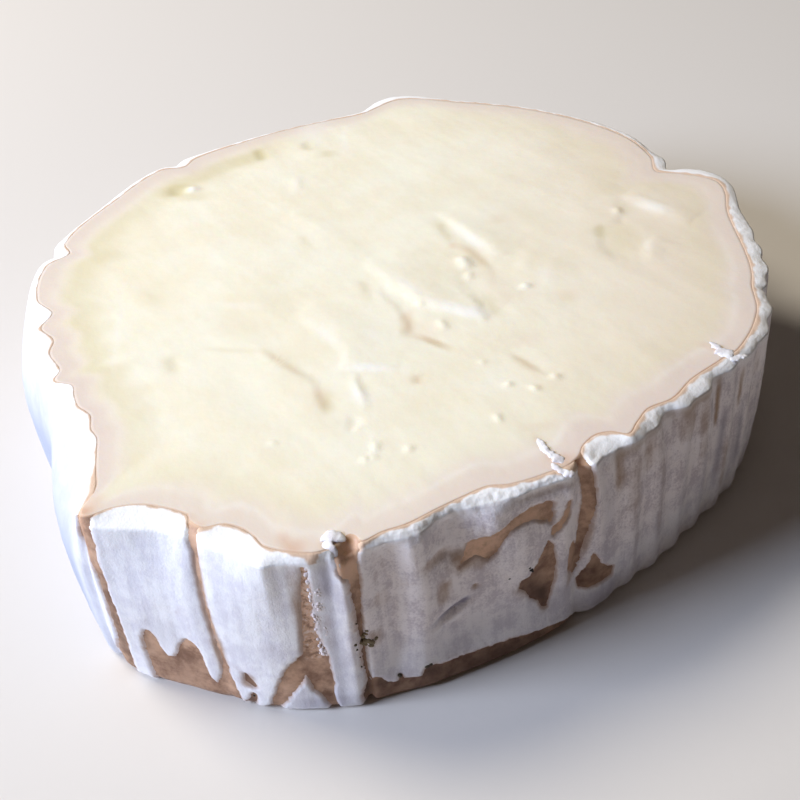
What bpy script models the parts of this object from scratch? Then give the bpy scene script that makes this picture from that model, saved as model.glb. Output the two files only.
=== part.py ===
"""A thick slice of a soft-ripened goat cheese log, lying on its cut face.

One solid, cheese and rind together: an uneven round that has slumped outwards in front, with
deep creases down the wall, fine flutes on one side, a soft shoulder with a scalloped rim on the
other, and a cut face that falls a little across the slice.  It rests on its flat underside.
Metres, +Z up; the axis of the log is the Z axis and the underside is at Z = 0.
"""
import math

import bpy
from mathutils import Vector

MM = 0.001

# Driving dimensions
MID_HEIGHT = 23.2 * MM       # from the underside to the middle of the cut face
FALL_X = 0.020               # drop of the cut face for each metre along +X
FALL_Y = 0.020               # and along +Y
BELLY_LEVEL = 0.45           # height of the fullest part of the wall, as a share of the whole
SHOULDER_LEVEL = 0.55        # where the wall starts to lean in towards the rim
RIM_ROUND = 1.1 * MM         # how far the wall turns in at the rim of the cut face
FOOT_ROUND = 1.0 * MM        # and at the underside
TURN_STEPS = 240             # facets round the wall

# The round, station by station: angle in degrees from +X, then how far the rim of the cut face,
# the belly of the wall and its foot stand out from the axis, in millimetres.
STATIONS = (
    (-170, 45.4, 49.8, 48.8),
    (-155, 45.0, 48.3, 47.5),
    (-144, 45.9, 52.1, 50.7),
    (-135, 49.2, 54.8, 54.1),
    (-130, 55.2, 56.1, 55.3),
    (-120, 51.4, 54.2, 54.4),
    (-107, 52.4, 53.6, 53.4),
    (-97, 50.0, 50.6, 51.3),
    (-86, 46.4, 47.3, 48.8),
    (-74, 44.8, 45.7, 46.4),
    (-58, 44.4, 44.8, 44.4),
    (-42, 44.7, 44.9, 44.3),
    (-28, 46.7, 46.8, 45.9),
    (-6, 47.5, 47.8, 47.2),
    (10, 48.0, 48.3, 47.6),
    (20, 50.5, 50.5, 49.2),
    (33, 47.4, 48.0, 47.6),
    (42, 49.4, 49.8, 49.2),
    (60, 50.1, 50.5, 49.8),
    (75, 50.2, 50.7, 49.8),
    (87, 51.9, 52.1, 50.9),
    (97, 46.6, 48.4, 48.8),
    (118, 45.6, 47.3, 47.4),
    (137, 47.4, 48.6, 48.2),
    (152, 46.9, 48.8, 48.4),
    (170, 48.2, 50.0, 49.4),
)

# Creases and rim notches: angle at the rim, angle at the foot, depth in mm at the rim and at
# the foot, half width in mm.
CREASES = (
    (-130.0, -131.2, 0.9, 0.8, 0.9),
    (-117.6, -115.4, 0.9, 0.7, 0.9),
    (-98.6, -98.6, 1.1, 0.8, 1.2),
    (-67.0, -67.6, 1.2, 0.8, 1.2),
    (28.0, 27.0, 3.2, 1.4, 1.9),
    (-12.9, -14.0, 1.0, 0.4, 1.0),
    (132.6, 131.0, 1.2, 0.4, 1.1),
    (167.0, 168.5, 1.8, 0.6, 1.1),
    (93.2, 94.0, 1.2, 0.4, 1.5),
)

# Scallops cut into the rim, and flutes down the wall: first and last angle, period in degrees,
# depth in mm, and the share of the height that they reach down from the rim.
SCALLOPS = (-174.0, -138.0, 7.1, 0.55, 0.25)
FLUTES = (-63.0, 6.0, 5.6, 0.35, 1.0)

# The half section before it is shaped: distance out as a share of the radius, height as a share
# of the thickness.  It runs from the middle of the cut face over the wall to the underside.
FACE_EDGE = 0.97             # where both flat faces end
SECTION = (
    (0.00, 1.00), (0.35, 1.00), (0.62, 1.00), (0.82, 1.00), (FACE_EDGE, 1.00),
    (1.00, 0.96), (1.00, 0.90), (1.00, 0.82), (1.00, 0.73), (1.00, 0.62), (1.00, 0.50),
    (1.00, 0.38), (1.00, 0.26), (1.00, 0.15), (1.00, 0.05),
    (FACE_EDGE, 0.00), (0.60, 0.00), (0.00, 0.00),
)


def gap(angle, other):
    """Signed turn from one angle to the other, in degrees, between -180 and 180."""
    return (angle - other + 180.0) % 360.0 - 180.0


def smooth(value, low, high):
    """0 at low, 1 at high and a soft S between."""
    share = min(max((value - low) / (high - low), 0.0), 1.0)
    return share * share * (3.0 - 2.0 * share)


def station_values(angle):
    """Rim, belly and foot distances at an angle, on a smooth closed curve through STATIONS."""
    count = len(STATIONS)
    last = max((i for i in range(count) if STATIONS[i][0] <= angle), default=count - 1)
    row = [STATIONS[(last + i) % count] for i in (-1, 0, 1, 2)]
    span = (row[2][0] - row[1][0]) % 360.0
    share = (angle - row[1][0]) % 360.0 / span
    before = span / ((row[2][0] - row[0][0]) % 360.0)
    after = span / ((row[3][0] - row[1][0]) % 360.0)
    values = []
    for k in (1, 2, 3):
        start_slope = (row[2][k] - row[0][k]) * before
        end_slope = (row[3][k] - row[1][k]) * after
        values.append(
            (1 + 2 * share) * (1 - share) ** 2 * row[1][k]
            + share * (1 - share) ** 2 * start_slope
            + share * share * (3 - 2 * share) * row[2][k]
            + share * share * (share - 1) * end_slope
        )
    return values


def crease_depth(angle, level, radius):
    """How far the creases press the wall in, in mm."""
    depth = 0.0
    for top, foot, top_depth, foot_depth, half_width in CREASES:
        centre = foot + (top - foot) * level
        across = abs(gap(angle, centre)) * math.pi / 180.0 * radius / half_width
        deepest = foot_depth + (top_depth - foot_depth) * level
        depth += deepest * math.exp(-across ** 1.6)
    return depth


def ripple_depth(angle, level, ripple):
    """Depth of a run of scallops or flutes, in mm."""
    first, last, period, depth, reach = ripple
    ends = smooth(angle, first, first + period) * smooth(-angle, -last, period - last)
    fade = smooth(level, 1.0 - 1.3 * reach, 1.0 - 0.3 * reach) if reach < 1.0 else 1.0
    wave = 0.5 - 0.5 * math.cos((angle - first) * 2.0 * math.pi / period)
    return depth * wave * ends * fade


def wall_radius(angle, level):
    """Distance of the wall from the axis, in mm, at an angle and a share of the height."""
    rim, belly, foot = station_values(angle)
    lean = max(level - SHOULDER_LEVEL, 0.0) / (1.0 - SHOULDER_LEVEL)
    below = max(BELLY_LEVEL - level, 0.0) / BELLY_LEVEL
    radius = belly + (rim - belly) * lean ** 2 + (foot - belly) * below ** 2
    radius -= crease_depth(angle, level, radius)
    for ripple in (SCALLOPS, FLUTES):
        radius -= ripple_depth(angle, level, ripple)
    return radius


def shaped(point):
    """A point of the plain turned round, moved to its place on the slice."""
    share = math.hypot(point.x, point.y)
    angle = math.degrees(math.atan2(point.y, point.x))
    level = point.z
    reach = wall_radius(angle, level) * MM
    if level == 1.0:
        reach = (reach - RIM_ROUND) / FACE_EDGE
    elif level == 0.0:
        reach = (reach - FOOT_ROUND) / FACE_EDGE
    x = reach * share * math.cos(math.radians(angle))
    y = reach * share * math.sin(math.radians(angle))
    top = MID_HEIGHT - FALL_X * x - FALL_Y * y
    return Vector((x, y, top * level))


def turned_round():
    """The half section turned once round the axis, one unit in radius and height."""
    mesh = bpy.data.meshes.new("half_section")
    edges = [(i, i + 1) for i in range(len(SECTION) - 1)]
    mesh.from_pydata([(out, 0.0, up) for out, up in SECTION], edges, [])
    section = bpy.data.objects.new("half_section", mesh)
    bpy.context.scene.collection.objects.link(section)
    screw = section.modifiers.new("turn", "SCREW")
    screw.steps = TURN_STEPS
    screw.render_steps = TURN_STEPS
    screw.use_merge_vertices = True
    screw.merge_threshold = 0.0001
    depsgraph = bpy.context.evaluated_depsgraph_get()
    turned = bpy.data.meshes.new_from_object(section.evaluated_get(depsgraph))
    bpy.data.objects.remove(section)
    bpy.data.meshes.remove(mesh)
    return turned


def centre_on_box(mesh):
    """Moves the mesh so that the middle of its underside's box is at the origin."""
    for axis in (0, 1):
        values = [vertex.co[axis] for vertex in mesh.vertices]
        middle = (min(values) + max(values)) / 2.0
        for vertex in mesh.vertices:
            vertex.co[axis] -= middle


def goat_cheese_material():
    """Soft white bloomy rind, the colour that most of the slice shows."""
    material = bpy.data.materials.new("goat_cheese")
    material.use_nodes = True
    shader = material.node_tree.nodes["Principled BSDF"]
    shader.inputs["Base Color"].default_value = (0.84, 0.79, 0.66, 1.0)
    shader.inputs["Roughness"].default_value = 0.55
    shader.inputs["Metallic"].default_value = 0.0
    return material


def make_slice(collection):
    """The whole slice as one closed solid."""
    mesh = turned_round()
    mesh.name = "cheese_log"
    for vertex in mesh.vertices:
        vertex.co = shaped(vertex.co)
    centre_on_box(mesh)
    mesh.shade_smooth()
    mesh.set_sharp_from_angle(angle=math.radians(50))
    mesh.materials.clear()
    mesh.materials.append(goat_cheese_material())
    slice_object = bpy.data.objects.new("cheese_log", mesh)
    collection.objects.link(slice_object)
    return slice_object


def main():
    for old in list(bpy.data.objects):
        bpy.data.objects.remove(old)
    collection = bpy.data.collections.new("goat_cheese_log")
    bpy.context.scene.collection.children.link(collection)
    make_slice(collection)


main()
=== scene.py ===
import math

import bpy
import numpy as np
from mathutils import Matrix, Vector, noise


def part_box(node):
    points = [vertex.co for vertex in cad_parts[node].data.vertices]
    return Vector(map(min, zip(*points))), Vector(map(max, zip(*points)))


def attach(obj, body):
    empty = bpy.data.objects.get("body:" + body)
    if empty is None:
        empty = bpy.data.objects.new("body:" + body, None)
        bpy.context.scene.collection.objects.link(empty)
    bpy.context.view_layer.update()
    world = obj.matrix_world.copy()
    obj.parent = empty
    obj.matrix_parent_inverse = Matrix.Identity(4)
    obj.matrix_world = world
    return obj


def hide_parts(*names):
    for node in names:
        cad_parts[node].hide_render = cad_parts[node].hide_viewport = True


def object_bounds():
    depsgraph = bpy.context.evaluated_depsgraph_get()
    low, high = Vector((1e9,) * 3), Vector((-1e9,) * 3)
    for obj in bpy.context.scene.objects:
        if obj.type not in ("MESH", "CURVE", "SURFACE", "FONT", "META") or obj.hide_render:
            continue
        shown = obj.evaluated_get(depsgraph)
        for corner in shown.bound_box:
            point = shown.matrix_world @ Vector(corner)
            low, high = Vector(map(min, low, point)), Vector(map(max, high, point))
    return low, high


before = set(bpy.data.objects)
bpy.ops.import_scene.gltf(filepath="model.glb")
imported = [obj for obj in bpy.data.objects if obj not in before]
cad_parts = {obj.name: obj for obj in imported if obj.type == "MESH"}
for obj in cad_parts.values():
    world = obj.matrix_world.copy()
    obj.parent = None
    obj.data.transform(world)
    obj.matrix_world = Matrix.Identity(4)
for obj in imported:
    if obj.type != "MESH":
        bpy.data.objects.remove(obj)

# A thick slice of a soft goat cheese log with a bloomy rind, cut face up.  Lengths are in mm and
# angles in degrees about the log's own axis: 0 is the right side, -90 the front, 180 the left.
cadLow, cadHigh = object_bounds()
millimetre = 0.001
print("frame loaded, CAD box", [round(v * 1000, 1) for v in cadHigh - cadLow], "mm")


# the shape of the slice follows the rules of the CAD solid, with finer detail
sliceShape = {
    "midHeight": 23.2,       # underside to the middle of the cut face
    "fallX": 0.020,          # how the cut face drops to the right
    "fallY": 0.020,          # and to the back
    "bellyLevel": 0.45,
    "shoulderLevel": 0.55,
    "footRound": 1.0,
    "rindThick": 0.22,
    # angle, then distance from the axis of the rim, the belly and the foot
    "stations": [
        (-170, 47, 49.8, 48.8), (-155, 46.2, 48.3, 47.5), (-144, 46.8, 52.1, 50.7),
        (-135, 50.6, 54.8, 54.1), (-130, 55.4, 56.1, 55.3), (-120, 51.7, 54.2, 54.4),
        (-107, 53.2, 53.6, 53.4), (-97, 50.5, 50.7, 51.3), (-86, 46, 47.3, 48.8),
        (-74, 44.9, 45.7, 46.4), (-60, 43.5, 44.8, 44.4), (-50, 43.2, 44.6, 44.3),
        (-42, 44.4, 44.9, 44.3), (-28, 46.5, 46.8, 45.9), (-6, 47.3, 47.8, 47.2),
        (10, 48, 48.3, 47.6), (20, 50.5, 50.5, 49.2), (33, 47.4, 48, 47.6), (42, 49.4, 49.8, 49.2),
        (60, 50.1, 50.5, 49.8), (75, 50.2, 50.7, 49.8), (87, 51.9, 52.1, 50.9),
        (97, 46.6, 48.4, 48.8), (118, 45.6, 47.3, 47.4), (137, 47.4, 48.6, 48.2),
        (152, 46.9, 48.8, 48.4), (170, 48.2, 50, 49.4),
    ],
    # angle, and how far the outer edge of the rind's bevel waves out from the smooth rim
    "rimWaves": [
        (-134, 0.15), (-129, 0.4), (-127, 0.1), (-122, 0.45), (-118.6, 0.6), (-115, 0.45),
        (-112.5, 0.1), (-110, 0.2), (-107.6, 0.6), (-106.2, 0.05), (-105, -0.1), (-102.5, 0.25),
        (-100.9, -0.1), (-99.3, 0.65), (-98.7, 0.05), (-96.4, 0.05), (-94.4, 0.1), (-91.8, 0.75),
        (-90, 0.85), (-88, 0.1), (-85.3, -0.02), (-82.6, 0.23), (-77, 0.41), (-74.6, 0.11),
        (-71, 0.4), (-68.3, 1.02), (-65.4, 0.89), (-62.9, 0.15), (-60.3, 0.5), (-57.7, 0.79),
        (-55.4, 1.28), (-53.3, 0.98), (-50.5, 0.27), (-47.9, 0.26), (-45.9, 0.65), (-43, 0.6),
        (-38.3, -0.36), (-35.7, -0.42), (-33, 0.01), (-29, 0.18), (-26.4, 0.73), (-19.8, 0.61),
        (-14, 0.2),
    ],
    # angle and distance of the edge where the paste meets the rind on the cut face
    "pasteEdge": [
        (-178.8, 46.3), (-174.6, 44.1), (-170.6, 45.4), (-166.7, 44), (-163.1, 44.8),
        (-158.1, 44.3), (-155.7, 45.4), (-153.3, 43.9), (-150.5, 44.4), (-147.9, 44.8),
        (-144.6, 44.5), (-141.6, 45.7), (-139.1, 46.2), (-133.7, 49.7), (-131.2, 51.8),
        (-130.1, 54.9), (-128.8, 54.9), (-127.7, 52.9), (-125.4, 50.9), (-122.6, 50),
        (-118.8, 49.8), (-117.8, 50.6), (-115.9, 50.9), (-113.9, 49.8), (-111.6, 49.8),
        (-109.5, 50.6), (-107.8, 51.7), (-102.5, 51.9), (-100.3, 51), (-99.4, 50), (-98.7, 49.1),
        (-97.8, 49.3), (-97, 50), (-94.8, 48.7), (-91.9, 47.7), (-87.8, 45.8), (-84.2, 44.5),
        (-80.5, 43.6), (-77.2, 44), (-70.6, 43.8), (-68.4, 43.7), (-66.2, 43), (-64.5, 41.9),
        (-61.5, 41.2), (-59, 41.8), (-57.4, 43.2), (-54.9, 42.5), (-51, 41.7), (-46.6, 42.6),
        (-40.8, 42.5), (-34, 43.9), (-30.5, 45), (-20, 45.7), (-12.9, 45), (-9.5, 45.2),
        (2.8, 45.3), (9.7, 46.1), (19.2, 49), (24.5, 46.2), (28, 43.6), (33, 46), (42, 48.2),
        (60, 49), (75, 49.2), (86, 50.2), (93, 46.2), (100, 45.2), (118, 44.6), (129, 45),
        (132.7, 44.2), (136, 46.2), (149, 45.9), (164, 46.6), (167, 44.9), (171, 47),
    ],
    # angle and height of the cut bevel of the rind
    "bevelDrop": [
        (-178, 0.7), (-136, 0.8), (-129, 0.85), (-107, 0.85), (-101, 0.75), (-99.6, 0.85),
        (-99.2, 1.3), (-98.7, 1.2), (-97.4, 0.8), (-97, 0.65), (-96, 0.6), (-69, 0.55), (-61, 0.75),
        (-30, 0.6), (0, 0.5), (90, 0.5), (170, 0.6),
    ],
    # angle at the rim, angle at the foot, depth at the rim and at the foot, half width
    "creases": [
        (-130, -131.2, 0.9, 0.8, 0.9), (-116.4, -115.3, 0.25, 0.2, 0.9),
        (-98.1, -98.3, 0.3, 1.1, 0.45), (-67, -67.6, 1.2, 0.8, 1.2), (28, 27, 3.2, 1.4, 1.9),
        (-12.9, -14, 1, 0.4, 1), (132.6, 131, 1.2, 0.4, 1.1), (167, 168.5, 1.8, 0.6, 1.1),
        (93.2, 94, 1.2, 0.4, 1.5),
    ],
    # first and last angle, period and depth of the fine flutes
    "flutes": (-63.0, 6.0, 5.6, 0.45),
    "leastBevel": 0.4,
}


def smoothStep(value, low, high):
    share = np.clip((value - low) / (high - low), 0.0, 1.0)
    return share * share * (3.0 - 2.0 * share)


def turnBetween(angle, other):
    return (angle - other + 180.0) % 360.0 - 180.0


def aroundTable(angle, table):
    # straight runs between the rows of a closed table: angle, value
    rows = np.array(table, float)
    return np.interp(angle, rows[:, 0], rows[:, 1], period=360.0)


def aroundCurve(angle, table):
    # a smooth closed curve for each column of a table that starts with the angle
    rows = np.array(table, float)
    count = len(rows)
    last = (np.searchsorted(rows[:, 0], angle, side="right") - 1) % count
    before, start, end, after = [rows[(last + step) % count] for step in (-1, 0, 1, 2)]
    span = (end[..., :1] - start[..., :1]) % 360.0
    share = ((angle[..., None] - start[..., :1]) % 360.0) / span
    startSlope = (end - before) * span / ((end[..., :1] - before[..., :1]) % 360.0)
    endSlope = (after - start) * span / ((after[..., :1] - start[..., :1]) % 360.0)
    curve = (
        (1 + 2 * share) * (1 - share) ** 2 * start
        + share * (1 - share) ** 2 * startSlope
        + share * share * (3 - 2 * share) * end
        + share * share * (share - 1) * endSlope
    )
    return [curve[..., column] for column in range(1, rows.shape[1])]


def cutFaceHeight(x, y):
    # the cut face is flat and falls a little across the slice
    return sliceShape["midHeight"] - sliceShape["fallX"] * x - sliceShape["fallY"] * y


def wallRadius(angle, level, bevelLevel):
    # distance of the wall from the axis; a level is a share of the slice's height
    rim, belly, foot = aroundCurve(angle, sliceShape["stations"])
    shoulder, low = sliceShape["shoulderLevel"], sliceShape["bellyLevel"]
    lean = np.maximum(level - shoulder, 0.0) / (bevelLevel - shoulder)
    below = np.maximum(low - level, 0.0) / low
    radius = belly + (rim - belly) * lean ** 2 + (foot - belly) * below ** 2
    for top, bottom, topDepth, bottomDepth, halfWidth in sliceShape["creases"]:
        across = np.abs(turnBetween(angle, bottom + (top - bottom) * level))
        across = across * math.pi / 180.0 * radius / halfWidth
        radius = radius - (bottomDepth + (topDepth - bottomDepth) * level) * np.exp(-across ** 1.6)
    first, last, period, depth = sliceShape["flutes"]
    ends = smoothStep(angle, first, first + period) * smoothStep(-angle, -last, period - last)
    return radius - depth * ends * (0.5 - 0.5 * np.cos((angle - first) * 2.0 * math.pi / period))


def sliceProfile(angles, path):
    # the skin of the slice: one column an angle, one row a step of path, which is 0 at the edge of
    # the paste, 1 at the outer edge of the rind's bevel, 2 where the wall turns under and 3 below
    angle = np.broadcast_to(angles[None, :], (len(path), len(angles)))
    step = path[:, None]
    footRound = sliceShape["footRound"]
    drop = aroundTable(angle, sliceShape["bevelDrop"])
    edge = aroundCurve(angle, sliceShape["pasteEdge"])[0]
    cosine, sine = np.cos(np.radians(angle)), np.sin(np.radians(angle))
    top = cutFaceHeight(edge * cosine, edge * sine)
    bevelLevel = 1.0 - drop / top
    rim = wallRadius(angle, bevelLevel, bevelLevel) + aroundTable(angle, sliceShape["rimWaves"])
    rim = np.maximum(rim, edge + sliceShape["leastBevel"])
    bevelShare = np.clip(step, 0.0, 1.0)
    wallShare = np.clip(step - 1.0, 0.0, 1.0)
    turn = np.clip(step - 2.0, 0.0, 1.0) * math.pi / 2.0
    height = top * bevelLevel + (footRound - top * bevelLevel) * wallShare
    wall = wallRadius(angle, height / top, bevelLevel)
    wall = wall + (rim - wallRadius(angle, bevelLevel, bevelLevel)) * (1 - wallShare) ** 4
    radius = np.where(step < 1.0, edge + (rim - edge) * bevelShare, wall)
    radius = radius - footRound * (1.0 - np.cos(turn))
    height = np.where(step < 1.0, top - drop * bevelShare ** 1.6, height)
    height = np.where(step > 2.0, footRound * (1.0 - np.sin(turn)), height)
    up = np.where(step < 1.0, height + (rim - radius), height) - footRound * turn * (step > 2.0)
    alongR, alongZ = np.gradient(radius, axis=0), np.gradient(height, axis=0)
    length = np.hypot(alongR, alongZ) + 1e-9
    return {
        "angle": angle, "radius": radius, "height": height, "up": up,
        "outR": -alongZ / length, "outZ": alongR / length, "cosine": cosine, "sine": sine,
        "intoBevel": np.where(step <= 1.0, np.hypot(rim - edge, drop) * bevelShare, 99.0),
    }


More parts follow.
